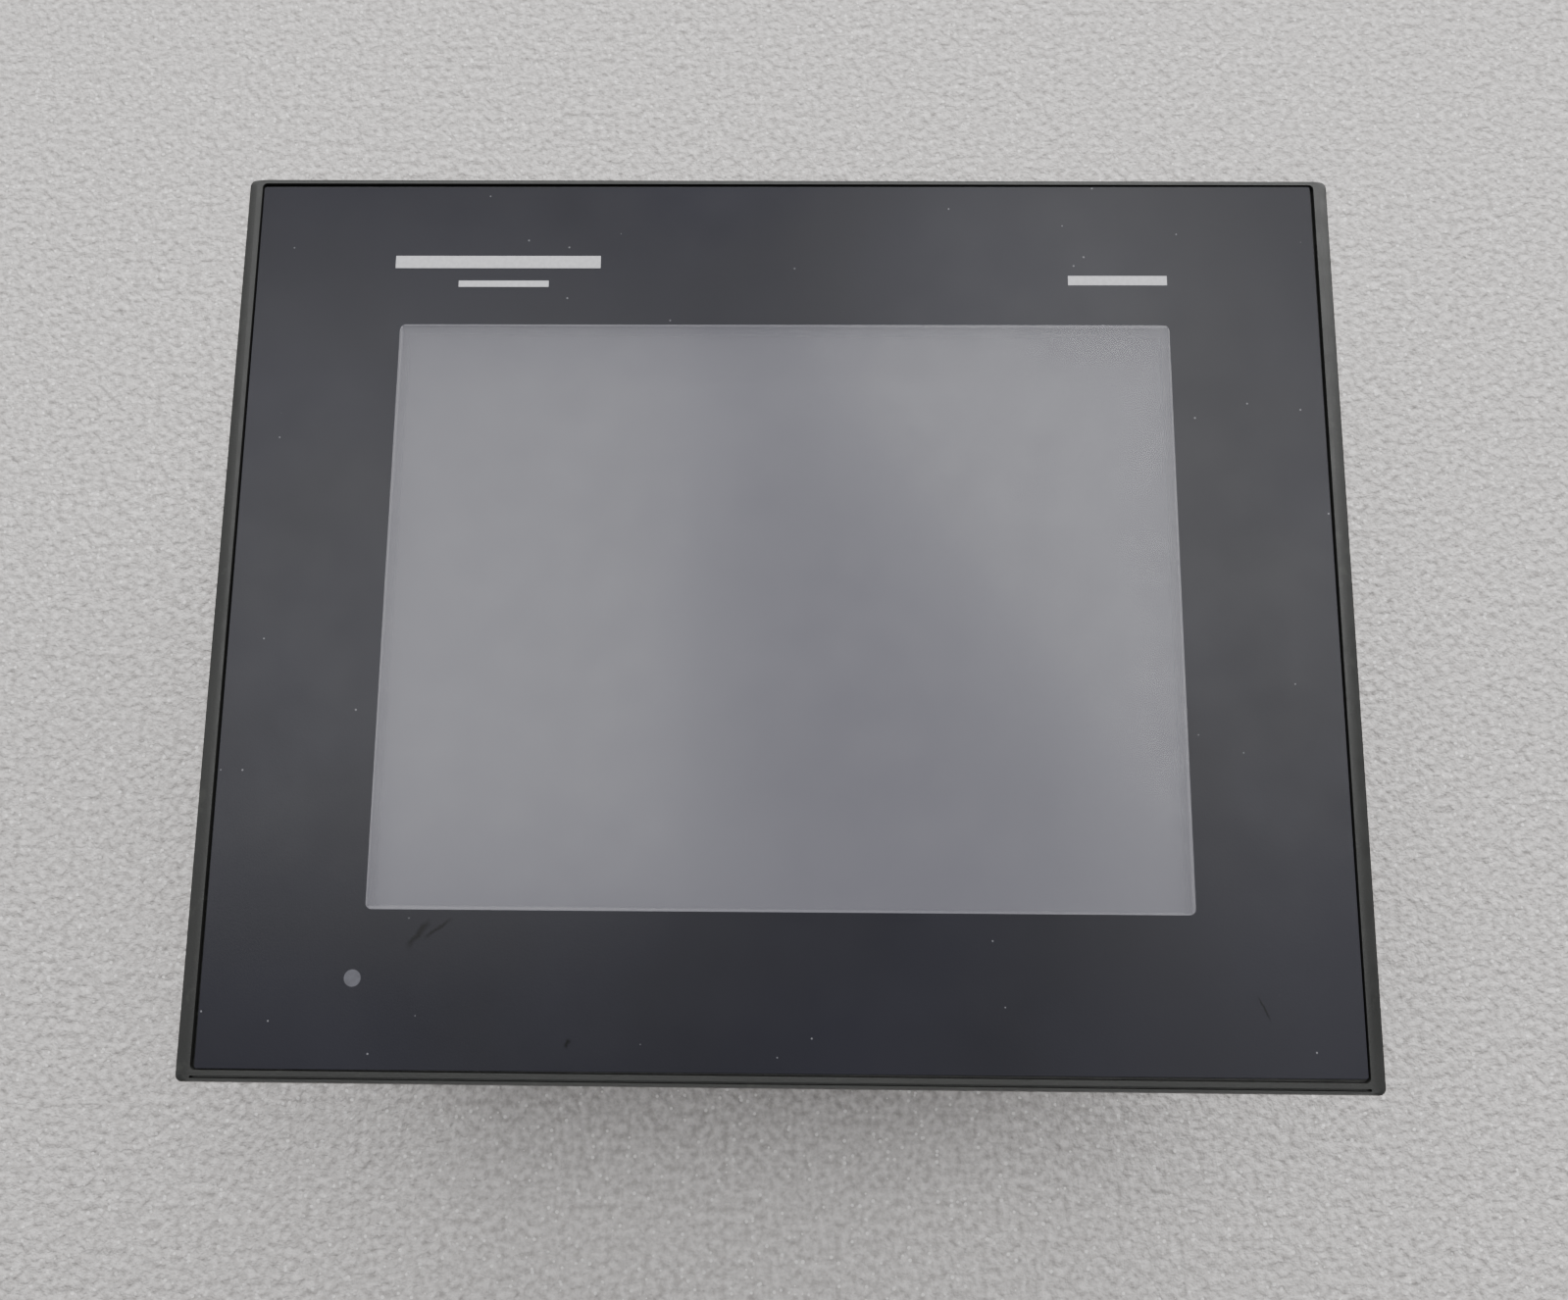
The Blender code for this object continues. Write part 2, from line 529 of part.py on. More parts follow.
def add_display(glass, metal, diffuser, cell_finish, flex):
    """Touch glass over the display's metal frame, cell and backlight."""
    slab("touch_glass", 2 * TOUCH_X, 2 * TOUCH_Y, (TOUCH_TOP_Z - TOUCH_THICKNESS, TOUCH_TOP_Z),
         glass, corner=0.7 * MM)
    frame = slab("lcd_frame", 2 * LCD_X, 2 * LCD_Y, (LCD_BACK_Z, LCD_TOP_Z), metal)
    inner_x, inner_y = LCD_X - LCD_FRAME_WALL, LCD_Y - LCD_FRAME_WALL
    face_back_z = LCD_TOP_Z - LCD_FRAME_FACE
    tray = slab("lcd_tray", 2 * inner_x, 2 * inner_y, (LCD_BACK_Z - MM, face_back_z))
    view = slab("lcd_view", WINDOW_WIDTH - 2 * LCD_LIP, WINDOW_HEIGHT - 2 * LCD_LIP,
                (face_back_z - MM, LCD_TOP_Z + MM))
    cut(frame, tray, view)
    cell_top_z = face_back_z - FIT
    cell_back_z = cell_top_z - CELL_THICKNESS
    slab("lcd_cell", WINDOW_WIDTH + 2 * CELL_MARGIN, WINDOW_HEIGHT + 2 * CELL_MARGIN,
         (cell_back_z, cell_top_z), cell_finish)
    slab("lcd_backlight", 2 * (inner_x - FIT), 2 * (inner_y - FIT), (LCD_BACK_Z, cell_back_z - FIT),
         diffuser)
    edge_y = -TOUCH_Y - FIT
    drop_y = -LCD_Y - 2 * FIT
    turn_z = RECESS_Z - TAIL_DROP
    end_z = BOARD_TOP + TAIL_END
    ribbon("touch_tail", [(edge_y, turn_z), (drop_y, turn_z), (drop_y, end_z)], TAIL_X,
           TAIL_WIDTH, TAIL_THICKNESS, flex)
    low_z = BOARD_TOP + FIT
    ribbon("display_ribbon", [(RIBBON_Y, LCD_BACK_Z - FIT), (RIBBON_Y, PLATE_BACK_Z - 2 * RIBBON_SWAY),
                              (RIBBON_Y - RIBBON_SWAY, (low_z + PLATE_BACK_Z) / 2), (RIBBON_Y, low_z)],
           0.0, RIBBON_WIDTH, TAIL_THICKNESS, flex)


def add_status_light(clear, board_finish, lamp):
    """Light pipe under the sheet's small round window, with its own lamp on a strip of board."""
    pipe_top = RECESS_Z - FIT
    pipe_end = FLOOR_BACK_Z - LIGHT_PIPE_TAIL
    pipe = rod("status_light_pipe", LIGHT_RADIUS, (LIGHT_X, LIGHT_Y, pipe_end),
               (LIGHT_X, LIGHT_Y, pipe_top), clear)
    collar = rod("light_collar", LIGHT_RADIUS + LIGHT_COLLAR, (LIGHT_X, LIGHT_Y, pipe_end),
                 (LIGHT_X, LIGHT_Y, FLOOR_BACK_Z - FIT))
    join(pipe, collar)
    width, length, height = LED_SIZE
    lamp_top = pipe_end - FIT
    lamp_back = lamp_top - height
    box("status_lamp", (LIGHT_X - width / 2, LIGHT_X + width / 2),
        (LIGHT_Y - length / 2, LIGHT_Y + length / 2), (lamp_back, lamp_top), lamp)
    width, length, height = LED_BOARD_SIZE
    high_y = -LCD_Y - 2 * FIT
    box("indicator_board", (LED_BOARD_LOW_X, LED_BOARD_LOW_X + width), (high_y - length, high_y),
        (lamp_back - FIT - height, lamp_back - FIT), board_finish)


def add_display_plate(metal, screw_metal):
    """Sheet-metal plate that clamps the display into the bezel."""
    reach_x, reach_y = INNER_X - SLIP, INNER_Y - SLIP
    plate = slab("display_plate", 2 * reach_x, 2 * reach_y, (PLATE_BACK_Z, PLATE_TOP_Z), metal)
    notch = 2 * (COLUMN_INSET + COLUMN_RADIUS + SLIP)
    span_z = PLATE_THICKNESS + 2 * MM
    mid_z = (PLATE_BACK_Z + PLATE_TOP_Z) / 2
    notches = boxes("plate_corners", [(x, y, mid_z) for x, y in corners(INNER_X, INNER_Y)],
                    (notch, notch, span_z))
    tail_way = box("tail_way", (TAIL_X - TAIL_WIDTH / 2 - MM, TAIL_X + TAIL_WIDTH / 2 + MM),
                   (-reach_y - MM, -LCD_Y + MM), (PLATE_BACK_Z - MM, PLATE_TOP_Z + MM))
    slot = box("ribbon_way", (-RIBBON_WIDTH / 2 - MM, RIBBON_WIDTH / 2 + MM),
               (RIBBON_Y - 2 * MM, RIBBON_Y + 2 * MM), (PLATE_BACK_Z - MM, PLATE_TOP_Z + MM))
    cut(plate, notches, tail_way, slot)
    for number, (x, y) in enumerate(corners(DISPLAY_SCREW_X, DISPLAY_SCREW_Y), 1):
        cut(plate, rod(f"plate_hole_{number}", SMALL_SCREW_RADIUS + FIT,
                       (x, y, PLATE_BACK_Z - MM), (x, y, PLATE_TOP_Z + MM), sides=16))
        turned_screw(f"display_screw_{number}", SMALL_HEAD_RADIUS, SMALL_HEAD_HEIGHT,
                     SMALL_SCREW_RADIUS, DISPLAY_SCREW_LENGTH, (x, y, PLATE_BACK_Z - FIT),
                     screw_metal, "slot")


# ---------------------------------------------------------------- board
def board_screw_places():
    inset_x, inset_y = BOARD_SCREW_INSET
    x = BOARD_X - inset_x
    return [(side * x, y) for y in (BOARD_LOW_Y + inset_y, BOARD_HIGH_Y - inset_y)
            for side in (-1, 1)]


def add_main_board(board_finish, metal, screw_metal):
    """Board on four spacers behind the display plate."""
    board = box("main_board", (-BOARD_X, BOARD_X), (BOARD_LOW_Y, BOARD_HIGH_Y),
                (BOARD_BACK, BOARD_TOP), board_finish)
    for number, (x, y) in enumerate(board_screw_places(), 1):
        cut(board, rod(f"board_hole_{number}", SMALL_SCREW_RADIUS + FIT,
                       (x, y, BOARD_BACK - MM), (x, y, BOARD_TOP + MM), sides=16))
        spacer = rod(f"board_standoff_{number}", STANDOFF_FLATS / math.sqrt(3),
                     (x, y, BOARD_TOP + FIT), (x, y, PLATE_BACK_Z - FIT), metal, sides=6)
        thread_end = BOARD_BACK - FIT + BOARD_SCREW_LENGTH + FIT
        cut(spacer, rod(f"standoff_thread_{number}", SMALL_SCREW_RADIUS + FIT,
                        (x, y, BOARD_TOP - MM), (x, y, thread_end), sides=16))
        turned_screw(f"board_screw_{number}", SMALL_HEAD_RADIUS, SMALL_HEAD_HEIGHT,
                     SMALL_SCREW_RADIUS, BOARD_SCREW_LENGTH, (x, y, BOARD_BACK - FIT),
                     screw_metal, "slot")


def add_heat_sink(chip_finish, metal):
    """Processor on the screen side of the board, with a finned sink on it."""
    chip_side, chip_height = CHIP_SIZE
    chip, sink = chip_side / 2, SINK_SIDE / 2
    chip_z = BOARD_TOP + FIT
    base_z = chip_z + chip_height + FIT
    top_z = PLATE_BACK_Z - SINK_HEADROOM
    box("processor", (-chip, chip), (CHIP_Y - chip, CHIP_Y + chip),
        (chip_z, base_z - FIT), chip_finish)
    block = box("heat_sink", (-sink, sink), (CHIP_Y - sink, CHIP_Y + sink), (base_z, top_z), metal)
    height = top_z - base_z
    places = [((k - (SINK_FINS - 2) / 2) * SINK_PITCH, CHIP_Y, base_z + SINK_BASE + height / 2)
              for k in range(SINK_FINS - 1)]
    cut(block, boxes("sink_channels", places, (SINK_CHANNEL, SINK_SIDE + 2 * MM, height)))


def hanging_rod(name, place, size, finish, sides=24):
    """A round part soldered under the board; size is its radius and height."""
    x, y = place
    radius, height = size
    return rod(name, radius, (x, y, PORT_TOP_Z - height), (x, y, PORT_TOP_Z), finish, sides)


def add_board_parts(holder_finish, cell_metal, black, sleeve, coil_finish):
    """Back-up cell, buzzer, capacitor and inductor on the rear side of the board."""
    cell_x, cell_y = CELL_PLACE
    holder = hanging_rod("battery_holder", CELL_PLACE, CELL_HOLDER, holder_finish, sides=32)
    pocket_z = PORT_TOP_Z - CELL_HOLDER_FLOOR
    cut(holder, rod("battery_pocket", CELL_RADIUS + FIT,
                    (cell_x, cell_y, PORT_TOP_Z - CELL_HOLDER[1] - MM),
                    (cell_x, cell_y, pocket_z), sides=32))
    rod("backup_battery", CELL_RADIUS, (cell_x, cell_y, pocket_z - FIT - CELL_HEIGHT),
        (cell_x, cell_y, pocket_z - FIT), cell_metal, sides=32)
    hanging_rod("buzzer", BUZZER_PLACE, BUZZER_SIZE, black)
    hanging_rod("input_capacitor", CAPACITOR_PLACE, CAPACITOR_SIZE, sleeve)
    coil_x, coil_y = INDUCTOR_PLACE
    side, height = INDUCTOR_SIZE
    box("power_inductor", (coil_x - side / 2, coil_x + side / 2),
        (coil_y - side / 2, coil_y + side / 2), (PORT_TOP_Z - height, PORT_TOP_Z), coil_finish,
        corner=INDUCTOR_CORNER)


# ---------------------------------------------------------------- connectors
def pole_places():
    first = POWER_X - (POWER_POLES - 1) / 2 * POWER_PITCH
    return [first + k * POWER_PITCH for k in range(POWER_POLES)]


def add_power_entry(header_finish, plug_finish, screw_metal):
    """Fixed header and pull-off screw-terminal plug for the supply and the earth wire."""
    width, depth, height = POWER_HEADER
    low_z, mid_z = PORT_TOP_Z - height, PORT_TOP_Z - height / 2
    header = box("power_header", (POWER_X - width / 2, POWER_X + width / 2),
                 (PORT_FACE_Y, PORT_FACE_Y + depth), (low_z, PORT_TOP_Z), header_finish)
    nose_x = width / 2 - POWER_HEADER_WALL
    nose_z = height / 2 - POWER_HEADER_WALL
    mouth_end = PORT_FACE_Y + PLUG_NOSE_DEPTH + FIT
    cut(header, box("header_mouth", (POWER_X - nose_x, POWER_X + nose_x),
                    (PORT_FACE_Y - MM, mouth_end), (mid_z - nose_z, mid_z + nose_z)))

    body_w, body_d, body_h = PLUG_BODY
    body_back = PORT_FACE_Y - FIT
    front_y = body_back - body_d
    plug = box("terminal_plug", (POWER_X - body_w / 2, POWER_X + body_w / 2), (front_y, body_back),
               (mid_z - body_h / 2, mid_z + body_h / 2), plug_finish, edge=PLUG_EDGE)
    nose_out_x, nose_out_z = nose_x - FIT, nose_z - FIT
    nose = box("plug_nose", (POWER_X - nose_out_x, POWER_X + nose_out_x),
               (body_back - MM, PORT_FACE_Y + PLUG_NOSE_DEPTH),
               (mid_z - nose_out_z, mid_z + nose_out_z))
    join(plug, nose)
    wire_w, wire_d, wire_h = WIRE_HOLE
    wires = [(x, front_y + wire_d / 2 - MM, mid_z + WIRE_HOLE_RAISE) for x in pole_places()]
    cut(plug, boxes("wire_holes", wires, (wire_w, wire_d + 2 * MM, wire_h)))
    screw_y = front_y + TERMINAL_SCREW_SETBACK
    head_top = mid_z - body_h / 2 + TERMINAL_SCREW_SUNK
    slot_width, slot_depth = TERMINAL_SCREW_SLOT
    screws = []
    for number, x in enumerate(pole_places(), 1):
        pin_end = PORT_FACE_Y + MM
        join(header, rod(f"header_pin_{number}", POWER_PIN_RADIUS, (x, pin_end, mid_z),
                         (x, mouth_end + MM, mid_z), sides=10))
        cut(plug, rod(f"plug_contact_{number}", POWER_PIN_RADIUS + FIT, (x, pin_end - MM, mid_z),
                      (x, mouth_end + MM, mid_z), sides=10))
        cut(plug, rod(f"screw_well_{number}", TERMINAL_SCREW_RADIUS + FIT,
                      (x, screw_y, mid_z - body_h / 2 - MM),
                      (x, screw_y, head_top + TERMINAL_SCREW_LENGTH + FIT), sides=16))
        screw = rod(f"terminal_screw_{number}", TERMINAL_SCREW_RADIUS, (x, screw_y, head_top),
                    (x, screw_y, head_top + TERMINAL_SCREW_LENGTH), screw_metal, sides=16)
        cut(screw, box(f"terminal_slot_{number}",
                       (x - TERMINAL_SCREW_RADIUS - MM, x + TERMINAL_SCREW_RADIUS + MM),
                       (screw_y - slot_width / 2, screw_y + slot_width / 2),
                       (head_top - MM, head_top + slot_depth)))
        screws.append(screw)
    hang_on("plug_pull", (POWER_X, PORT_FACE_Y, mid_z), plug, *screws)


def add_usb(metal, tongue_finish):
    """Host socket for a memory stick and a small socket for the engineering cable."""
    for name, centre, size in (("usb_host", USB_HOST_X, USB_HOST_SIZE),
                               ("usb_tool", USB_TOOL_X, USB_TOOL_SIZE)):
        width, depth, height = size
        low_z = PORT_TOP_Z - height
        shell = box(name + "_shell", (centre - width / 2, centre + width / 2),
                    (PORT_FACE_Y, PORT_FACE_Y + depth), (low_z, PORT_TOP_Z), metal)
        inner = width / 2 - USB_WALL
        cut(shell, box(name + "_mouth", (centre - inner, centre + inner),
                       (PORT_FACE_Y - MM, PORT_FACE_Y + depth - USB_WALL),
                       (low_z + USB_WALL, PORT_TOP_Z - USB_WALL)))
        tongue_h = USB_TONGUE_SHARE * height
        high_z = PORT_TOP_Z - USB_WALL - 2 * FIT
        box(name + "_tongue", (centre - inner + 3 * FIT, centre + inner - 3 * FIT),
            (PORT_FACE_Y + USB_TONGUE_SETBACK, PORT_FACE_Y + depth - USB_WALL - FIT),
            (high_z - tongue_h, high_z), tongue_finish)


def add_modular_jack(name, centre, finish):
    """Eight-way modular jack with its latch notch towards the rear."""
    width, depth, height = JACK_SIZE
    mouth_w, mouth_d, mouth_h = JACK_MOUTH
    latch_w, latch_d, latch_h = JACK_LATCH
    low_z = PORT_TOP_Z - height
    jack = box(name, (centre - width / 2, centre + width / 2), (PORT_FACE_Y, PORT_FACE_Y + depth),
               (low_z, PORT_TOP_Z), finish)
    mouth_z = PORT_TOP_Z - JACK_ROOF - mouth_h
    mouth = box(name + "_mouth", (centre - mouth_w / 2, centre + mouth_w / 2),
                (PORT_FACE_Y - MM, PORT_FACE_Y + mouth_d), (mouth_z, mouth_z + mouth_h))
    latch = box(name + "_latch", (centre - latch_w / 2, centre + latch_w / 2),
                (PORT_FACE_Y - MM, PORT_FACE_Y + latch_d), (mouth_z - latch_h, mouth_z + MM))
    cut(jack, mouth, latch)


def d_shape(name, width, height, span_y, centre_z, finish=None):
    """A bar with the D outline of a serial port: its long side is towards the board."""
    bm = bmesh.new()
    bmesh.ops.create_cube(bm, size=1.0)
    bmesh.ops.scale(bm, vec=(width, span_y[1] - span_y[0], height), verts=bm.verts)
    for vert in bm.verts:
        if vert.co.z < 0:
            vert.co.x -= math.copysign(DSUB_LEAN, vert.co.x)
    along = [e for e in bm.edges if abs(e.verts[0].co.y - e.verts[1].co.y) > MM]
    bmesh.ops.bevel(bm, geom=along, offset=DSUB_CORNER, segments=3, profile=0.5, affect="EDGES")
    place = (SERIAL_PORT_X, sum(span_y) / 2, centre_z)
    return add_piece(name, mesh_from(name, bm), finish, place)


def add_serial_port(metal, insert_finish, screw_metal):
    """Nine-pin port: plated shell, insulator with its pins, and two hexagonal lock nuts."""
    width, thick, height = DSUB_FLANGE
    shell_w, shell_d, shell_h = DSUB_SHELL
    mid_z = PORT_TOP_Z - height / 2
    back_y = WALL_Y - FIT
    front_y = back_y - thick
    shell = box("serial_port_shell", (SERIAL_PORT_X - width / 2, SERIAL_PORT_X + width / 2),
                (front_y, back_y), (mid_z - height / 2, mid_z + height / 2), metal)
    tube = d_shape("serial_tube", shell_w, shell_h, (front_y - shell_d, back_y), mid_z)
    room = d_shape("serial_room", shell_w - 2 * DSUB_WALL, shell_h - 2 * DSUB_WALL,
                   (front_y - shell_d - MM, back_y + MM), mid_z)
    join(shell, tube)
    cut(shell, room)
    inset = DSUB_WALL + FIT
    insert = d_shape("serial_port_insert", shell_w - 2 * inset, shell_h - 2 * inset,
                     (front_y, WALL_Y + DSUB_INSERT_REACH), mid_z, insert_finish)
    for row, count in ((0.5, 5), (-0.5, 4)):
        for k in range(count):
            x = SERIAL_PORT_X + (k - (count - 1) / 2) * DSUB_PIN_PITCH
            z = mid_z + row * DSUB_PIN_ROW
            join(insert, rod(f"serial_pin_{count}_{k}", DSUB_PIN_RADIUS,
                             (x, front_y - shell_d + DSUB_PIN_SETBACK, z), (x, front_y + MM, z),
                             sides=8))
    for name, side in (("left", -1), ("right", 1)):
        x = SERIAL_PORT_X + side * DSUB_HOLE_X
        cut(shell, rod(f"flange_hole_{name}", HEXNUT_SHANK + FIT, (x, front_y - MM, mid_z),
                       (x, back_y + MM, mid_z), sides=16))
        nut = rod(f"serial_hexnut_{name}", HEXNUT_FLATS / math.sqrt(3),
                  (x, front_y - FIT - HEXNUT_LENGTH, mid_z), (x, front_y - FIT, mid_z),
                  screw_metal, sides=6)
        stem = rod(f"hexnut_stem_{name}", HEXNUT_SHANK, (x, front_y - MM, mid_z),
                   (x, WALL_Y + WALL + MM, mid_z), sides=16)
        join(nut, stem)
        cut(nut, rod(f"hexnut_thread_{name}", HEXNUT_SHANK, (x, front_y - HEXNUT_LENGTH - MM, mid_z),
                     (x, front_y - HEXNUT_WALL, mid_z), sides=12))


def add_card_socket(metal):
    """Card socket on the board's right-hand edge, opening into the bay behind the cover."""
    depth, width, height = CARD_SOCKET
    mouth_x = CARD_WALL_X - CARD_BLOCK[0] - FIT
    shell = box("sd_card_socket", (mouth_x - depth, mouth_x), (CARD_Y - width / 2, CARD_Y + width / 2),
                (PORT_TOP_Z - height, PORT_TOP_Z), metal)
    mouth_w, mouth_h = CARD_MOUTH
    mid_z = PORT_TOP_Z - height / 2
    slot = box("socket_mouth", (mouth_x - depth + MM, mouth_x + MM),
               (CARD_Y - mouth_w / 2, CARD_Y + mouth_w / 2),
               (mid_z - mouth_h / 2, mid_z + mouth_h / 2))
    return cut(shell, slot)


def add_card_cover(finish):
    """Flap over the card slot; its rounded lower edge turns on two pegs."""
    thick, length, height = COVER_SIZE
    cover = box("sd_card_cover", (COVER_X - thick / 2, COVER_X + thick / 2),
                (CARD_Y - length / 2, CARD_Y + length / 2),
                (COVER_HINGE_Z, COVER_LOW_Z + height), finish, edge=COVER_EDGE)
    ends = length / 2 + COVER_PEG_LENGTH
    pegs = rod("cover_pegs", COVER_PEG_RADIUS, (COVER_X, CARD_Y - ends, COVER_HINGE_Z),
               (COVER_X, CARD_Y + ends, COVER_HINGE_Z), sides=16)
    roll = rod("cover_roll", thick / 2, (COVER_X, CARD_Y - length / 2, COVER_HINGE_Z),
               (COVER_X, CARD_Y + length / 2, COVER_HINGE_Z), sides=24)
    join(cover, roll, pegs)
    nail_z = COVER_LOW_Z + height - NAIL_GROOVE_INSET
    reach = NAIL_GROOVE_LENGTH / 2
    cut(cover, rod("nail_groove", NAIL_GROOVE_RADIUS, (COVER_X + thick / 2, CARD_Y - reach, nail_z),
                   (COVER_X + thick / 2, CARD_Y + reach, nail_z), sides=12))
    hang_on("sd_cover_hinge", (COVER_X, CARD_Y, COVER_HINGE_Z), cover)


# ---------------------------------------------------------------- rear housing
def housing_inside():
    """Everything inside the walls: the body's outline less the walls and less the bay."""
    inside = slab("housing_inside", 2 * INNER_X, 2 * INNER_Y, (WALL, HOUSING_TOP_Z + MM),
                  corner=BODY_CORNER - MM)
    bay = box("inside_bay", (-BODY_WIDTH, BODY_WIDTH), (-BODY_HEIGHT, WALL_Y + WALL),
              (-MM, BAY_DEPTH + WALL))
    return cut(inside, bay)


def port_openings():
    """Openings in the connector wall, each a little larger than the port that fills it."""
    ports = [(POWER_X, POWER_HEADER), (USB_HOST_X, USB_HOST_SIZE), (USB_TOOL_X, USB_TOOL_SIZE),
             (ETHERNET_X, JACK_SIZE), (SERIAL_JACK_X, JACK_SIZE)]
    tools = []
    for number, (x, (width, _, height)) in enumerate(ports, 1):
        tools.append(box(f"port_opening_{number}", (x - width / 2 - FIT, x + width / 2 + FIT),
                         (WALL_Y - MM, WALL_Y + WALL + MM),
                         (PORT_TOP_Z - height - FIT, PORT_TOP_Z + FIT)))
    mid_z = PORT_TOP_Z - DSUB_FLANGE[2] / 2
    tools.append(d_shape("serial_opening", DSUB_SHELL[0], DSUB_SHELL[2],
                         (WALL_Y - MM, WALL_Y + WALL + MM), mid_z))
    for side in (-1, 1):
        x = SERIAL_PORT_X + side * DSUB_HOLE_X
        tools.append(rod(f"lock_hole_{side}", HEXNUT_SHANK + FIT, (x, WALL_Y - MM, mid_z),
                         (x, WALL_Y + WALL + MM, mid_z), sides=16))
    return tools


def vent_slots():
    """Two rows of slots in the rear wall and one in the upper wall."""
    first = -(VENT_COUNT - 1) / 2 * VENT_PITCH
    xs = [first + k * VENT_PITCH for k in range(VENT_COUNT)]
    high_y = INNER_Y - VENT_HIGH_INSET
    low_y = WALL_Y + VENT_LOW_INSET
    rear = [(x, y, WALL / 2) for y in (low_y, high_y) for x in xs]
    top = [(x, BODY_HEIGHT / 2 - WALL / 2, TOP_VENT_Z) for x in xs]
    return [boxes("rear_vents", rear, (VENT_WIDTH, VENT_LENGTH, WALL + 2 * MM)),
            boxes("top_vents", top, (VENT_WIDTH, WALL + 2 * MM, TOP_VENT_HEIGHT))]


def fastener_slots():
    """Slots that the installation fasteners hook into, two above and two below."""
    wide, tall = FASTENER_SLOT
    z = FLANGE_BACK_Z - FASTENER_SLOT_BELOW
    places = [(x, y, z) for x, y in corners(FASTENER_SLOT_X, BODY_HEIGHT / 2 - WALL / 2)]
    return boxes("fastener_slots", places, (wide, WALL + 2 * MM, tall))


def add_rear_housing(finish):
    """Deep rear case with a shallow bay along the lower edge, where the plugs go in."""
    housing = slab("rear_housing", BODY_WIDTH, BODY_HEIGHT, (0, HOUSING_TOP_Z), finish,
                   corner=BODY_CORNER)
    bay = box("connector_bay", (-BODY_WIDTH, BODY_WIDTH), (-BODY_HEIGHT, WALL_Y), (-MM, BAY_DEPTH))
    cut(housing, bay)
    softened = housing.modifiers.new("moulded_edges", "BEVEL")
    softened.width = BODY_EDGE
    softened.segments = 2
    softened.limit_method = "ANGLE"
    softened.angle_limit = math.radians(60)
    cut(housing, housing_inside())

    reach, length, height = CARD_BLOCK
    block = box("card_block", (CARD_WALL_X - reach, CARD_WALL_X - WALL / 2),
                (CARD_Y - length / 2, CARD_Y + length / 2),
                (CARD_BLOCK_Z - height / 2, CARD_BLOCK_Z + height / 2))
    join(housing, block)
    for number, (x, y) in enumerate(corners(COLUMN_X, COLUMN_Y), 1):
        foot_z = WALL / 2 + (BAY_DEPTH if y < 0 else 0)
        join(housing, rod(f"screw_column_{number}", COLUMN_RADIUS, (x, y, foot_z),
                          (x, y, HOUSING_TOP_Z)))
    for number, (x, y) in enumerate(corners(COLUMN_X, COLUMN_Y), 1):
        cut(housing, rod(f"screw_well_case_{number}", CASE_HEAD_RADIUS + 2 * FIT, (x, y, -MM),
                         (x, y, CASE_SEAT_Z), sides=20))
        cut(housing, rod(f"screw_way_{number}", CASE_SCREW_RADIUS + FIT, (x, y, CASE_SEAT_Z - MM),
                         (x, y, HOUSING_TOP_Z + MM), sides=16))

    thick, cover_length, cover_height = COVER_SIZE
    pocket_x = COVER_X - thick / 2 - 2 * FIT
    pocket = box("cover_pocket", (pocket_x, CARD_WALL_X + MM),
                 (CARD_Y - cover_length / 2 - FIT, CARD_Y + cover_length / 2 + FIT),
                 (COVER_LOW_Z - FIT, COVER_LOW_Z + cover_height + FIT))
    peg_reach = cover_length / 2 + COVER_PEG_LENGTH + FIT
    pegs = rod("peg_holes", COVER_PEG_RADIUS + FIT, (COVER_X, CARD_Y - peg_reach, COVER_HINGE_Z),
               (COVER_X, CARD_Y + peg_reach, COVER_HINGE_Z), sides=16)
    mouth_w, mouth_h = CARD_MOUTH
    mid_z = PORT_TOP_Z - CARD_SOCKET[2] / 2
    card_way = box("card_way", (CARD_WALL_X - reach - MM, CARD_WALL_X),
                   (CARD_Y - mouth_w / 2, CARD_Y + mouth_w / 2),
                   (mid_z - mouth_h / 2, mid_z + mouth_h / 2))
    cut(housing, pocket, pegs, card_way)

    cut(housing, *port_openings())
    cut(housing, *vent_slots())
    cut(housing, fastener_slots())
    label_w, label_h, _ = RATING_PLATE
    cut(housing, box("rating_pocket", (-label_w / 2 - SLIP, label_w / 2 + SLIP),
                     (rating_y() - label_h / 2 - SLIP, rating_y() + label_h / 2 + SLIP),
                     (-MM, RATING_POCKET)))
    return housing


def rating_y():
    return (WALL_Y + BODY_HEIGHT / 2) / 2


def add_rating_plate(finish):
    label_w, label_h, thick = RATING_PLATE
    high_z = RATING_POCKET - FIT
    box("rating_plate", (-label_w / 2, label_w / 2),
        (rating_y() - label_h / 2, rating_y() + label_h / 2), (high_z - thick, high_z), finish)


def add_case_screws(metal):
    for number, (x, y) in enumerate(corners(COLUMN_X, COLUMN_Y), 1):
        turned_screw(f"case_screw_{number}", CASE_HEAD_RADIUS, CASE_HEAD_HEIGHT, CASE_SCREW_RADIUS,
                     CASE_SCREW_LENGTH, (x, y, CASE_SEAT_Z - FIT), metal, "cross")


# ---------------------------------------------------------------- assembly
clear_scene()
PARTS = add_collection("hmi_touch_panel")
CUTTERS = add_collection("cutters")

bezel_plastic = make_finish("bezel_plastic", (0.085, 0.083, 0.080), 0.45)
printed_film = make_finish("printed_film", (0.060, 0.058, 0.066), 0.42)
rubber = make_finish("gasket_rubber", (0.020, 0.020, 0.020), 0.80)
touch_finish = make_finish("touch_glass", (0.42, 0.42, 0.44), 0.10)
cell_finish = make_finish("display_cell", (0.25, 0.25, 0.27), 0.25)
white_plastic = make_finish("backlight_white", (0.80, 0.80, 0.78), 0.50)
steel = make_finish("plated_steel", (0.55, 0.55, 0.54), 0.35, 1.0)
nickel = make_finish("nickel_plate", (0.60, 0.58, 0.54), 0.28, 1.0)
amber_film = make_finish("flex_film", (0.45, 0.20, 0.04), 0.40)
board_green = make_finish("board_laminate", (0.02, 0.16, 0.07), 0.45)
clear_plastic = make_finish("light_pipe_clear", (0.75, 0.75, 0.78), 0.15)
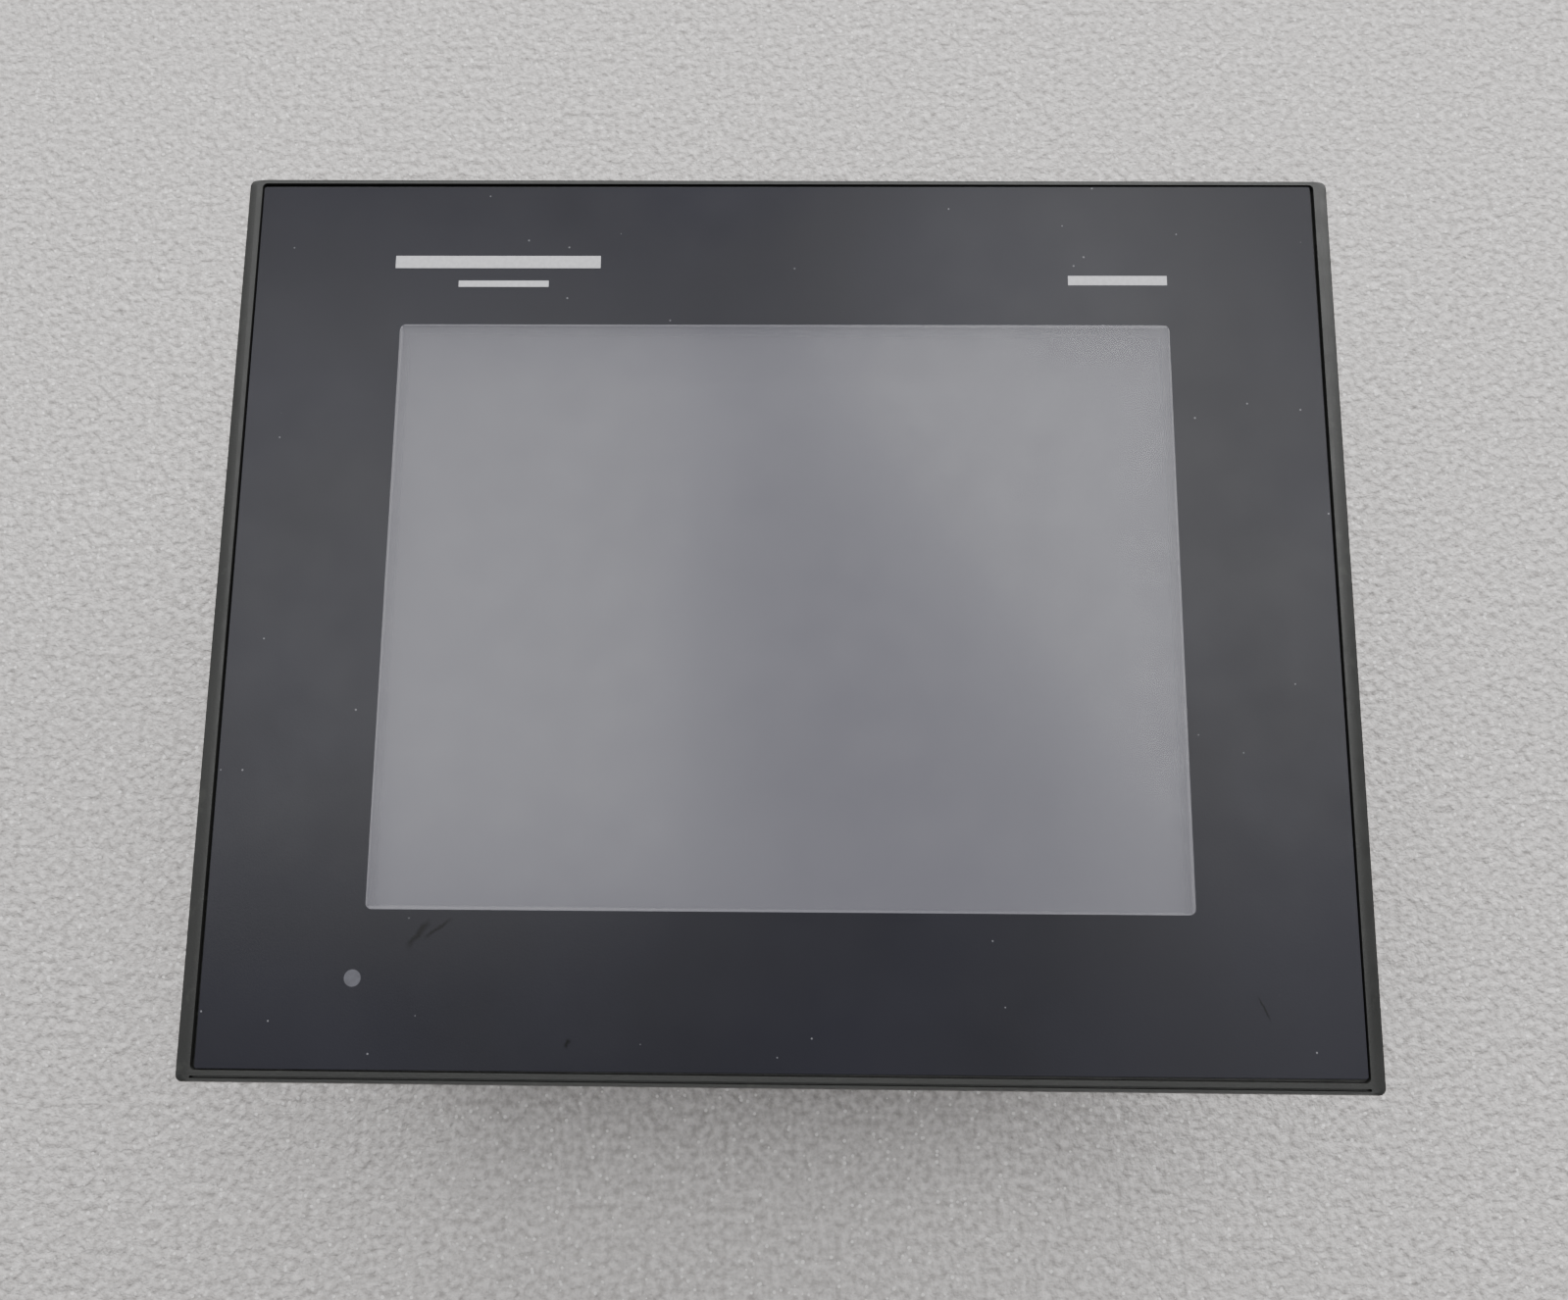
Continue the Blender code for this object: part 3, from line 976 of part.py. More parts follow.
housing_plastic = make_finish("housing_plastic", (0.045, 0.045, 0.047), 0.55)
black_plastic = make_finish("connector_black", (0.02, 0.02, 0.02), 0.45)
green_plastic = make_finish("terminal_green", (0.02, 0.22, 0.08), 0.45)
chip_black = make_finish("chip_epoxy", (0.03, 0.03, 0.03), 0.50)
black_aluminium = make_finish("anodised_black", (0.03, 0.03, 0.032), 0.40, 0.8)
blue_sleeve = make_finish("capacitor_sleeve", (0.02, 0.05, 0.22), 0.35)
ferrite = make_finish("ferrite", (0.09, 0.09, 0.095), 0.70)
label_film = make_finish("label_film", (0.60, 0.60, 0.61), 0.35)

add_front_bezel(bezel_plastic)
add_front_sheet(printed_film)
add_panel_gasket(rubber)
add_display(touch_finish, steel, white_plastic, cell_finish, amber_film)
add_status_light(clear_plastic, board_green, white_plastic)
add_display_plate(steel, steel)
add_main_board(board_green, nickel, steel)
add_heat_sink(chip_black, black_aluminium)
add_board_parts(black_plastic, nickel, black_plastic, blue_sleeve, ferrite)
add_power_entry(black_plastic, green_plastic, steel)
add_usb(nickel, black_plastic)
add_modular_jack("ethernet_jack", ETHERNET_X, black_plastic)
add_modular_jack("serial_jack", SERIAL_JACK_X, black_plastic)
add_serial_port(nickel, black_plastic, nickel)
add_card_socket(nickel)
add_card_cover(housing_plastic)
add_rear_housing(housing_plastic)
add_rating_plate(label_film)
add_case_screws(steel)
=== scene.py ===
"""Looks of a flush-mounting operator touch panel, which lies on its back with its screen up.

Everything is in metres, in the panel's own frame: +X right along the screen, +Y towards its
upper edge, +Z out of it. Small sizes are written in millimetres times MM.
"""

import json
import math

import bmesh
import bpy
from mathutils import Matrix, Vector

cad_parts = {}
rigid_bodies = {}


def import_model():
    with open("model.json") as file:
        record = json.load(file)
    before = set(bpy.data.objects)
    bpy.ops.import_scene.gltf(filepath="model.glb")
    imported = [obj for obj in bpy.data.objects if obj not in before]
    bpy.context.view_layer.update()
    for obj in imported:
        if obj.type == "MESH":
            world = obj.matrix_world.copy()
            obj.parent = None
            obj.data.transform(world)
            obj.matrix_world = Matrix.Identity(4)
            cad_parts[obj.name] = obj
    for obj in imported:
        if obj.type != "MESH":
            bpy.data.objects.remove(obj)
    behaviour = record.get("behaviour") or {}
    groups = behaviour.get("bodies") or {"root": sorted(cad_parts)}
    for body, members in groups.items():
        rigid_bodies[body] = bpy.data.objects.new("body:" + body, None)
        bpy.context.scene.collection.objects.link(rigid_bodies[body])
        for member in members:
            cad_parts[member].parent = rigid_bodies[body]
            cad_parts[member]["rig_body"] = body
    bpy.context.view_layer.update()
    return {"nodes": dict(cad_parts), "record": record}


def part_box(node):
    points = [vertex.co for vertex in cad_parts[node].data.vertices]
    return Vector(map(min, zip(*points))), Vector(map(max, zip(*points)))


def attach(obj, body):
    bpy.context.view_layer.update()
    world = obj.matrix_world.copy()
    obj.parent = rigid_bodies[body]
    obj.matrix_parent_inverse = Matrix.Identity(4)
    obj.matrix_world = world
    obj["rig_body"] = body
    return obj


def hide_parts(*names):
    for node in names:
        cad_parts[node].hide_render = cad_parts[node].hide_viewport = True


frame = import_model()

MM = 0.001
NODES = frame["nodes"]

# The film and its clear window
WINDOW_SIZE = (118.5 * MM, 88.6 * MM)
WINDOW_CORNER = 0.9 * MM
LAMP_PLACE = (-60.5 * MM, -53.9 * MM)
LAMP_RADIUS = 1.2 * MM
FILM_CORNER = 0.35 * MM
FILM_EDGE = 0.08 * MM
FILM_TURN = 0.12  # degrees
PRINT_HEIGHT = 0.02 * MM
EMBOSS = 0.3  # grain of the film's emboss, in millimetres
FILM_RELIEF = 0.003 * MM
WINDOW_RELIEF = 0.0007 * MM

# The paler line round the window, inside its edge, and how opaque the veil and the line are
WINDOW_LINE = (0.25 * MM, 0.4 * MM)
VEIL_ALPHA = 0.35
LINE_ALPHA = 0.5

# The darker strip above the display's picture area, from the window's upper edge
STRIP_FADE = (8.5 * MM, 7.0 * MM)

# Scuffs on the film: start, end and half width, in millimetres
SCUFFS = (
    ((-53.0, -50.0), (-49.6, -45.6), 0.55),
    ((-50.6, -48.6), (-46.4, -45.4), 0.4),
    ((-29.9, -63.3), (-29.1, -62.0), 0.4),
    ((67.4, -55.1), (69.2, -58.7), 0.2),
)

# The line printed round the rating plate: its distance from the edge and half its width
PLATE_LINE = (1.6 * MM, 0.15 * MM)

# The camera stands over the panel's lower half and looks slightly up the screen
CAMERA_PLACE = (2.8 * MM, -33.9 * MM, 173.7 * MM)  # above the front face
CAMERA_TURN = (8.98, 0.68, 0.51)  # degrees about x, y and z
CAMERA_LENS = 27.4
SENSOR_WIDTH = 36.0

# Edges as the mould or the drum leaves them
CASE_EDGE = 0.18 * MM
SHELL_EDGE = 0.15 * MM
BEZEL_EDGE = 0.14 * MM
SMALL_PART_EDGE = 0.12 * MM
SOFT_EDGE = 0.1 * MM
SOCKET_EDGE = 0.08 * MM
FINE_EDGE = 0.06 * MM
WIRE_EDGE = 0.05 * MM
THIN_EDGE = 0.02 * MM

# Modular jacks
JACK_WIRES = 8
JACK_PITCH = 1.02 * MM
JACK_WIRE = 0.32 * MM
JACK_WIRE_INSET = 1.2 * MM  # from the jack's front
JACK_WIRE_DROP = 1.75 * MM  # under the jack's top
JACK_WIRE_RUN = ((0, 1.4 * MM, 0), (0, 6.4 * MM, -3.0 * MM), (0, 1.0 * MM, 0.2 * MM))

# USB sockets: contacts, their setback from the blade's tip and their depth in and out of it
USB_BLADES = {"usb_host": 4, "usb_tool": 5}
USB_CONTACT_INSET = 0.6 * MM
USB_CONTACT_OUT = 0.06 * MM
USB_CONTACT_IN = 0.02 * MM

# Printed bars: name, left end, right end, height up the panel and thickness, in millimetres
PRINT_BARS = (
    ("print_bar_wide", -60.5, -28.5, 54.6, 2.0),
    ("print_bar_short", -50.5, -36.5, 51.0, 1.0),
    ("print_bar_right", 44.0, 59.2, 51.6, 1.5),
)

FLOOR_GAP = 0.1 * MM
FLOOR_SIZE = 6.0
SKY_STRENGTH = 0.27
AIM = (0.0, 0.0, 0.05)
# Lights beyond the edges, aimed at the panel: name, place, size and power
AIMED_LIGHTS = (
    ("softbox_far", (0.0, 2.0, 1.2), (2.4, 0.8), 54.0),
    ("softbox_far_left", (-1.6, 1.4, 1.0), (0.9, 0.9), 3.0),
    ("softbox_far_right", (1.6, 1.4, 1.0), (0.9, 0.9), 19.0),
    ("softbox_side", (-2.0, 0.0, 1.0), (0.9, 0.9), 2.5),
)
# Lights overhead, facing down: name, place, size, power and turn in degrees
OVERHEAD_LIGHTS = (
    ("softbox_over_left", (-0.5, 0.27, 1.25), (0.75, 0.75), 6.9, 0.0),
    ("softbox_over_right", (0.45, 0.42, 1.25), (0.55, 0.95), 8.2, 35.0),
    ("softbox_over_near", (0.55, -0.25, 1.25), (0.5, 0.5), 1.0, 0.0),
)


# ---------------------------------------------------------------- finishes
def linear(code):
    """A hex sRGB colour as linear red, green, blue and alpha."""
    parts = [int(code[k:k + 2], 16) / 255 for k in (1, 3, 5)]
    return tuple(c / 12.92 if c <= 0.04045 else ((c + 0.055) / 1.055) ** 2.4 for c in parts) + (1.0,)


def per_mm(size):
    """The texture scale whose features are about this many millimetres across."""
    return 1 / (size * MM)


def add(tree, kind, inputs=None, **settings):
    """Adds a node, sets it up, and links or sets its inputs."""
    made = tree.nodes.new("ShaderNode" + kind)
    for name, value in settings.items():
        setattr(made, name, value)
    for name, value in (inputs or {}).items():
        if isinstance(value, bpy.types.NodeSocket):
            tree.links.new(value, made.inputs[name])
        else:
            made.inputs[name].default_value = value
    return made


def new_finish(name, **sockets):
    """A material with only its Principled shader, and the object coordinates of the surface."""
    finish = bpy.data.materials.new(name)
    finish.use_nodes = True
    tree = finish.node_tree
    shader = tree.nodes["Principled BSDF"]
    for socket, value in sockets.items():
        shader.inputs[socket.replace("_", " ")].default_value = value
    place = add(tree, "TexCoord").outputs["Object"]
    return finish, tree, shader, place


def mottled(tree, place, first, second, size, detail=3.0):
    """A colour that drifts between two others in patches of about this size in millimetres."""
    cloud = add(tree, "TexNoise", {"Vector": place, "Scale": per_mm(size), "Detail": detail})
    spread = add(tree, "MapRange", {"Value": cloud.outputs["Fac"], "From Min": 0.35, "From Max": 0.65})
    mix = add(tree, "MixRGB", {"Fac": spread.outputs["Result"], "Color1": first, "Color2": second})
    return mix.outputs["Color"]


def speckled(tree, place, size, low, high, detail=2.0):
    """A fine noise of about this size in millimetres, spread between two values."""
    grains = add(tree, "TexNoise", {"Vector": place, "Scale": per_mm(size), "Detail": detail})
    return add(tree, "MapRange", {"Value": grains.outputs["Fac"], "From Min": 0.3, "From Max": 0.7,
                                  "To Min": low, "To Max": high}).outputs["Result"]


def raise_grain(tree, shader, height, depth):
    """Turns a height pattern into bump on the shader; depth is the real relief in metres."""
    bump = add(tree, "Bump", {"Height": height, "Strength": 1.0, "Distance": depth})
    tree.links.new(bump.outputs["Normal"], shader.inputs["Normal"])


def dust_and_glint_specks(tree, place, size, share, core=0.09):
    """A mask of scattered specks: the cores of cells of about this size, in this share of them."""
    cells = add(tree, "TexVoronoi", {"Vector": place, "Scale": per_mm(size)})
    near = add(tree, "Math", {0: cells.outputs["Distance"], 1: core}, operation="LESS_THAN")
    parts = add(tree, "SeparateColor", {"Color": cells.outputs["Color"]})
    chosen = add(tree, "Math", {0: parts.outputs["Red"], 1: share}, operation="LESS_THAN")
    both = add(tree, "Math", {0: near.outputs[0], 1: chosen.outputs[0]}, operation="MULTIPLY")
    return both.outputs[0]


def stroke(tree, place, start, end, width):
    """A mask along one scuff on the film, from start to end, thinning out at both ends."""
    start, end = Vector(start) * MM, Vector(end) * MM
    along = end - start
    middle = (start + end) / 2
    turned = add(tree, "Mapping", {"Vector": place, "Location": (middle.x, middle.y, 0),
                                   "Rotation": (0, 0, math.atan2(along.y, along.x))},
                 vector_type="TEXTURE")
    wobble = add(tree, "TexNoise", {"Vector": place, "Scale": per_mm(1.1), "Detail": 3.0})
    sway = add(tree, "MapRange", {"Value": wobble.outputs["Fac"], "To Min": -width * MM,
                                  "To Max": width * MM})
    parts = add(tree, "SeparateXYZ", {"Vector": turned.outputs["Vector"]})
    off = add(tree, "Math", {0: parts.outputs["Y"], 1: sway.outputs["Result"]}, operation="ADD")
    far = add(tree, "Math", {0: off.outputs[0]}, operation="ABSOLUTE")
    across = add(tree, "MapRange", {"Value": far.outputs[0], "From Min": 0.2 * width * MM,
                                    "From Max": width * MM, "To Min": 1.0, "To Max": 0.0})
    run = add(tree, "Math", {0: parts.outputs["X"]}, operation="ABSOLUTE")
    length = along.length / 2
    ends = add(tree, "MapRange", {"Value": run.outputs[0], "From Min": 0.5 * length,
                                  "From Max": length, "To Min": 1.0, "To Max": 0.0})
    both = add(tree, "Math", {0: across.outputs["Result"], 1: ends.outputs["Result"]},
               operation="MULTIPLY")
    return both.outputs[0]


def printed_film_finish():
    """Hard-coated polyester film printed charcoal on its back.

    It gives a satin, slightly violet charcoal with a very fine emboss, a few scuffs and dust.
    """
    finish, tree, shader, place = new_finish("printed_polyester_film", IOR=1.65, Specular_IOR_Level=0.17)
    ground = mottled(tree, place, linear("#202025"), linear("#23232a"), 45)
    colour = ground
    for start, end, width in SCUFFS:
        mask = stroke(tree, place, start, end, width)
        colour = add(tree, "MixRGB", {"Fac": mask, "Color1": colour,
                                      "Color2": linear("#0d0d0f")}).outputs["Color"]
    # Dust: specks of 0.1 to 0.2 mm, one or two to a square centimetre
    specks = dust_and_glint_specks(tree, place, 1.6, 0.045)
    colour = add(tree, "MixRGB", {"Fac": specks, "Color1": colour,
                                  "Color2": linear("#6c6c70")}).outputs["Color"]
    tree.links.new(colour, shader.inputs["Base Color"])
    tree.links.new(speckled(tree, place, 9, 0.28, 0.33), shader.inputs["Roughness"])
    # The emboss is near 0.1 mm; drawn at 0.3 mm so that it shows
    raise_grain(tree, shader, speckled(tree, place, EMBOSS, 0.0, 1.0, 3.0), FILM_RELIEF)
    return finish


def window_edge_distance(tree, place):
    """How far inside the window's outline a point is, in metres."""
    parts = add(tree, "SeparateXYZ", {"Vector": place})
    gaps = []
    for axis, size in (("X", WINDOW_SIZE[0]), ("Y", WINDOW_SIZE[1])):
        off = add(tree, "Math", {0: parts.outputs[axis]}, operation="ABSOLUTE")
        gaps.append(add(tree, "Math", {0: size / 2, 1: off.outputs[0]}, operation="SUBTRACT"))
    return add(tree, "Math", {0: gaps[0].outputs[0], 1: gaps[1].outputs[0]},
               operation="MINIMUM").outputs[0]


def window_film_finish():
    """The film's clear window: the same hard coat with no print behind it.

    It gives a slightly milky veil over the display, with a paler line round the edge.
    """
    finish, tree, shader, place = new_finish("clear_polyester_window", IOR=1.65)
    inside = window_edge_distance(tree, place)
    edge = add(tree, "MapRange", {"Value": inside, "From Min": WINDOW_LINE[0],
                                  "From Max": WINDOW_LINE[1],
                                  "To Min": 1.0, "To Max": 0.0})
    veil = mottled(tree, place, linear("#787780"), linear("#7c7b84"), 30)
    colour = add(tree, "MixRGB", {"Fac": edge.outputs["Result"], "Color1": veil,
                                  "Color2": linear("#85848c")})
    tree.links.new(colour.outputs["Color"], shader.inputs["Base Color"])
    alpha = add(tree, "MapRange", {"Value": edge.outputs["Result"], "To Min": VEIL_ALPHA,
                                   "To Max": LINE_ALPHA})
    tree.links.new(alpha.outputs["Result"], shader.inputs["Alpha"])
    tree.links.new(speckled(tree, place, 6, 0.21, 0.26), shader.inputs["Roughness"])
    raise_grain(tree, shader, speckled(tree, place, EMBOSS, 0.0, 1.0, 3.0), WINDOW_RELIEF)
    return finish


def lamp_window_finish():
    """The unprinted dot over the status light: a grey translucent disc while the light is off."""
    finish, tree, shader, place = new_finish("clear_polyester_dot", IOR=1.5)
    tree.links.new(mottled(tree, place, linear("#47474d"), linear("#505057"), 0.8),
                   shader.inputs["Base Color"])
    tree.links.new(speckled(tree, place, 0.4, 0.35, 0.45), shader.inputs["Roughness"])
    return finish


def screen_print_finish():
    """Off-white screen-printing ink: matt, with faint pinholes."""
    finish, tree, shader, place = new_finish("off_white_ink", IOR=1.5)
    tree.links.new(mottled(tree, place, linear("#b9b8bc"), linear("#c6c5c9"), 0.6),
                   shader.inputs["Base Color"])
    tree.links.new(speckled(tree, place, 0.3, 0.45, 0.6), shader.inputs["Roughness"])
    return finish


def touch_glass_finish():
    """Coated float glass: clear, nearly colourless, with a faint grey from its conductive coat."""
    finish, tree, shader, place = new_finish("coated_glass", IOR=1.52, Alpha=0.12)
    tree.links.new(mottled(tree, place, linear("#8a8c90"), linear("#909296"), 40),
                   shader.inputs["Base Color"])
    tree.links.new(speckled(tree, place, 20, 0.05, 0.08), shader.inputs["Roughness"])
    return finish


def display_cell_finish():
    """Switched-off display cell under a matt polariser: an even mid grey."""
    finish, tree, shader, place = new_finish("matt_polariser", IOR=1.5)
    ground = mottled(tree, place, linear("#76757a"), linear("#7a797f"), 50)
    # The strip above the picture area is a shade darker
    upper_edge = WINDOW_SIZE[1] / 2
    height = add(tree, "SeparateXYZ", {"Vector": place}).outputs["Y"]
    strip = add(tree, "MapRange", {"Value": height, "From Min": upper_edge - STRIP_FADE[0],
                                   "From Max": upper_edge - STRIP_FADE[1]})
    colour = add(tree, "MixRGB", {"Fac": strip.outputs["Result"], "Color1": ground,
                                  "Color2": linear("#68676c")})
    tree.links.new(colour.outputs["Color"], shader.inputs["Base Color"])
    tree.links.new(speckled(tree, place, 0.4, 0.45, 0.55), shader.inputs["Roughness"])
    return finish


def moulded_finish(name, base, drift, worn, grain, relief, rough, ior=1.53):
    """Moulded plastic with a spark-eroded grain; grain and relief are in millimetres."""
    finish, tree, shader, place = new_finish(name, IOR=ior)
    colour = mottled(tree, place, linear(base), linear(drift), 18)
    rubbed = speckled(tree, place, 2.5, -1.1, 0.25, 6.0)
    rubbed = add(tree, "Math", {0: rubbed, 1: 0.0}, operation="MAXIMUM").outputs[0]
    colour = add(tree, "MixRGB", {"Fac": rubbed, "Color1": colour,
                                  "Color2": linear(worn)}).outputs["Color"]
    tree.links.new(colour, shader.inputs["Base Color"])
    tree.links.new(speckled(tree, place, 3, rough - 0.06, rough + 0.06), shader.inputs["Roughness"])
    raise_grain(tree, shader, speckled(tree, place, grain, 0.0, 1.0, 3.0), relief * MM)
    return finish


def metal_finish(name, base, drift, rough, streak=(1.0, 1.0, 1.0)):
    """Plated or rolled metal; streak stretches its fine marks along an axis."""
    finish, tree, shader, place = new_finish(name, Metallic=1.0)
    drawn = add(tree, "Mapping", {"Vector": place, "Scale": streak}).outputs["Vector"]
    tree.links.new(mottled(tree, drawn, linear(base), linear(drift), 4), shader.inputs["Base Color"])
    marks = speckled(tree, drawn, 0.5, rough - 0.03, rough + 0.05, 4.0)
    tree.links.new(marks, shader.inputs["Roughness"])
    raise_grain(tree, shader, speckled(tree, drawn, 0.4, 0.0, 1.0, 3.0), 0.0005 * MM)
    return finish


def rating_finish():
    """Silver polyester label: blank, with printed frame lines and no writing."""
    low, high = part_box("rating_plate")
    finish, tree, shader, place = new_finish("silver_label", IOR=1.5, Metallic=0.4, Roughness=0.38)
    parts = add(tree, "SeparateXYZ", {"Vector": place})
    middle = (low + high) / 2
    gaps = []
    for axis, centre, half in (("X", middle.x, (high.x - low.x) / 2),
                               ("Y", middle.y, (high.y - low.y) / 2)):
        moved = add(tree, "Math", {0: parts.outputs[axis], 1: centre}, operation="SUBTRACT")
        off = add(tree, "Math", {0: moved.outputs[0]}, operation="ABSOLUTE")
        gaps.append(add(tree, "Math", {0: half, 1: off.outputs[0]}, operation="SUBTRACT"))
    inside = add(tree, "Math", {0: gaps[0].outputs[0], 1: gaps[1].outputs[0]}, operation="MINIMUM")
    line = add(tree, "Math", {0: inside.outputs[0], 1: PLATE_LINE[0], 2: PLATE_LINE[1]},
               operation="COMPARE")
    ground = mottled(tree, place, linear("#a9a9ac"), linear("#b4b4b6"), 8)
    colour = add(tree, "MixRGB", {"Fac": line.outputs[0], "Color1": ground,
                                  "Color2": linear("#2a2a2c")})
    tree.links.new(colour.outputs["Color"], shader.inputs["Base Color"])
    return finish


FINISHES = {
    # Charcoal moulded flange with an olive cast and a fine grain
    "bezel_plastic": moulded_finish("charcoal_polycarbonate", "#1f201e", "#242523", "#3d3f3a",
                                    0.35, 0.012, 0.5),
    # Black glass-filled case with a coarser spark-eroded grain
    "housing_plastic": moulded_finish("grained_black_polycarbonate", "#29292b", "#2f2f31",
                                      "#47474a", 0.6, 0.03, 0.55),
    "connector_black": moulded_finish("black_nylon", "#1c1c1d", "#232324", "#38383a",
                                      0.4, 0.01, 0.42),
    "terminal_green": moulded_finish("green_polyamide", "#1d5a3a", "#226643", "#3f7d5c",
                                     0.4, 0.012, 0.45),
    "gasket_rubber": moulded_finish("moulded_nitrile_rubber", "#1a1a1a", "#202020", "#333333",
                                    0.5, 0.02, 0.75),
    "backlight_white": moulded_finish("white_diffuser", "#d8d8d4", "#e0e0dc", "#c8c8c4",
                                      0.8, 0.005, 0.5),
    "chip_epoxy": moulded_finish("black_epoxy", "#202021", "#262627", "#3a3a3b", 0.3, 0.01, 0.5),
    "board_laminate": moulded_finish("green_solder_mask", "#14502e", "#185c36", "#2a6f48",
                                     0.8, 0.01, 0.32),
    "flex_film": moulded_finish("amber_polyimide", "#8a5a1c", "#96641f", "#a5762f",
                                0.8, 0.005, 0.3),
    "capacitor_sleeve": moulded_finish("blue_sleeve", "#1d3566", "#213c74", "#3b5489",
                                       0.5, 0.006, 0.3),
    "ferrite": moulded_finish("sintered_ferrite", "#3c3c3e", "#444446", "#555557", 0.25, 0.02, 0.7),
    "light_pipe_clear": moulded_finish("clear_polycarbonate", "#b9b9bd", "#c2c2c6", "#aaaab0",
                                       0.5, 0.003, 0.15),
    # Zinc-plated steel: cool, slightly cloudy
    "plated_steel": metal_finish("zinc_plated_steel", "#a4a6a8", "#b3b4b4", 0.34),
    # Satin nickel over steel shells and brass nuts
    "nickel_plate": metal_finish("satin_nickel", "#b5b1a8", "#beb9b0", 0.4, (1.0, 0.2, 1.0)),
    "anodised_black": metal_finish("black_anodised_aluminium", "#2a2a2c", "#333335", 0.42),
    "gold_contact": metal_finish("gold_flash", "#c9a35a", "#d6b168", 0.25),
    "touch_glass": touch_glass_finish(),
    "display_cell": display_cell_finish(),
    "label_film": rating_finish(),
    "printed_film": printed_film_finish(),
    "window_film": window_film_finish(),
    "lamp_window": lamp_window_finish(),
    "screen_print": screen_print_finish(),
}
SLOT_OF_NODE = {entry["node"]: entry["material_slot"] for entry in frame["record"]["subparts"]}


# ---------------------------------------------------------------- modelling by hand
def alone(piece):
    """Makes this the only selected object, in object mode."""
    if bpy.context.mode != "OBJECT":
        bpy.ops.object.mode_set(mode="OBJECT")
    bpy.ops.object.select_all(action="DESELECT")
    piece.select_set(True)
    bpy.context.view_layer.objects.active = piece


def leave_edit():
    if bpy.context.mode != "OBJECT":
        bpy.ops.object.mode_set(mode="OBJECT")


def settle(piece):
    """Puts a piece's place, turn and scale into its mesh."""
    alone(piece)
    bpy.ops.object.transform_apply(location=True, rotation=True, scale=True)
    return piece


def start_box(name, low, high):
    leave_edit()
    bpy.ops.object.select_all(action="DESELECT")
    low, high = Vector(low), Vector(high)
    bpy.ops.mesh.primitive_cube_add(size=1, location=(low + high) / 2, scale=high - low)
    piece = bpy.context.active_object
    piece.name = name
    return settle(piece)


def start_rod(name, radius, start, end, sides=32):
    leave_edit()
    bpy.ops.object.select_all(action="DESELECT")
    start, end = Vector(start), Vector(end)
    turn = Vector((0, 0, 1)).rotation_difference(end - start).to_euler()
    bpy.ops.mesh.primitive_cylinder_add(vertices=sides, radius=radius, depth=(end - start).length,
                                        location=(start + end) / 2, rotation=turn)
    piece = bpy.context.active_object
    piece.name = name
    return settle(piece)


def pick(piece, kind, test):
    """Opens the piece in edit mode with only the faces or edges selected that pass the test."""
    alone(piece)
    bpy.ops.object.mode_set(mode="EDIT")
    bpy.ops.mesh.select_mode(type=kind)
    bpy.ops.mesh.select_all(action="DESELECT")
    cage = bmesh.from_edit_mesh(piece.data)
    for item in cage.faces if kind == "FACE" else cage.edges:
        if test(item):
            item.select_set(True)
    bmesh.update_edit_mesh(piece.data)


def upright(edge):
    ends = [v.co for v in edge.verts]
    return (ends[0].xy - ends[1].xy).length < 0.01 * MM and abs(ends[0].z - ends[1].z) > 0.1 * MM


def round_upright(piece, radius, segments=6):
    pick(piece, "EDGE", upright)
    bpy.ops.mesh.bevel(offset=radius, segments=segments, affect="EDGES")
    leave_edit()
    return piece


def apply_all(piece):
    alone(piece)
    for step in list(piece.modifiers):
        bpy.ops.object.modifier_apply(modifier=step.name)
    return piece


def carve(piece, tool, operation="DIFFERENCE"):
    """Cuts a piece with a tool, or joins the two, and throws the tool away."""
    step = piece.modifiers.new("carve", "BOOLEAN")
    step.operation = operation
    step.object = tool
    apply_all(piece)
    bpy.data.objects.remove(tool)
    return piece


def soften(piece, width, segments=2, angle=40):
    """Rounds every edge sharper than the angle, as a mould or a tumbling drum leaves it."""
    step = piece.modifiers.new("soften", "BEVEL")
    step.width = width
    step.segments = segments
    step.limit_method = "ANGLE"
    step.angle_limit = math.radians(angle)
    return apply_all(piece)


def hand_over(piece, finish, body, slot, *replaced):
    """Gives a finished piece its finish and body, and hides the CAD nodes that it stands for; slot is
    not used.
    """
    alone(piece)
    bpy.ops.object.shade_smooth_by_angle(angle=math.radians(35))
    even = piece.modifiers.new("even", "WEIGHTED_NORMAL")
    even.keep_sharp = True
    even.weight = 100
    apply_all(piece)
    piece.data.materials.clear()
    piece.data.materials.append(FINISHES[finish])
    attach(piece, body)
    if replaced:
        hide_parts(*replaced)
    return piece


def copy_of(node, name):
    """A merged copy of a CAD node's mesh, its flat faces made whole again."""
    leave_edit()
    piece = bpy.data.objects.new(name, NODES[node].data.copy())
    bpy.context.scene.collection.objects.link(piece)
    alone(piece)
    bpy.ops.object.mode_set(mode="EDIT")
    bpy.ops.mesh.select_all(action="SELECT")
    bpy.ops.mesh.remove_doubles(threshold=0.002 * MM)
    bpy.ops.mesh.dissolve_limited(angle_limit=math.radians(0.5))
    leave_edit()
    return piece


def softened_node(node, name, finish, width, segments=2):
    """The CAD node again with its edges rounded, standing for it."""
    body = NODES[node]["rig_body"]
    piece = soften(copy_of(node, name), width, segments)
    return hand_over(piece, finish, body, SLOT_OF_NODE[node], node)


def copies_along(piece, steps):
    """Copies a piece to each further offset, each with its own mesh, and joins them all."""
    made = [piece]
    for offset in steps:
        twin = bpy.data.objects.new(piece.name, piece.data.copy())
        bpy.context.scene.collection.objects.link(twin)
        twin.location = offset
        made.append(twin)
    leave_edit()
    bpy.ops.object.select_all(action="DESELECT")
    for one in made:
        one.select_set(True)
    bpy.context.view_layer.objects.active = piece
    bpy.ops.object.join()
    return settle(piece)


# ---------------------------------------------------------------- front
def lay_askew(piece):
    """Turns a piece of the film by the little that a hand-laid film sits askew in its recess."""
    piece.rotation_euler.z = math.radians(FILM_TURN)
    return settle(piece)


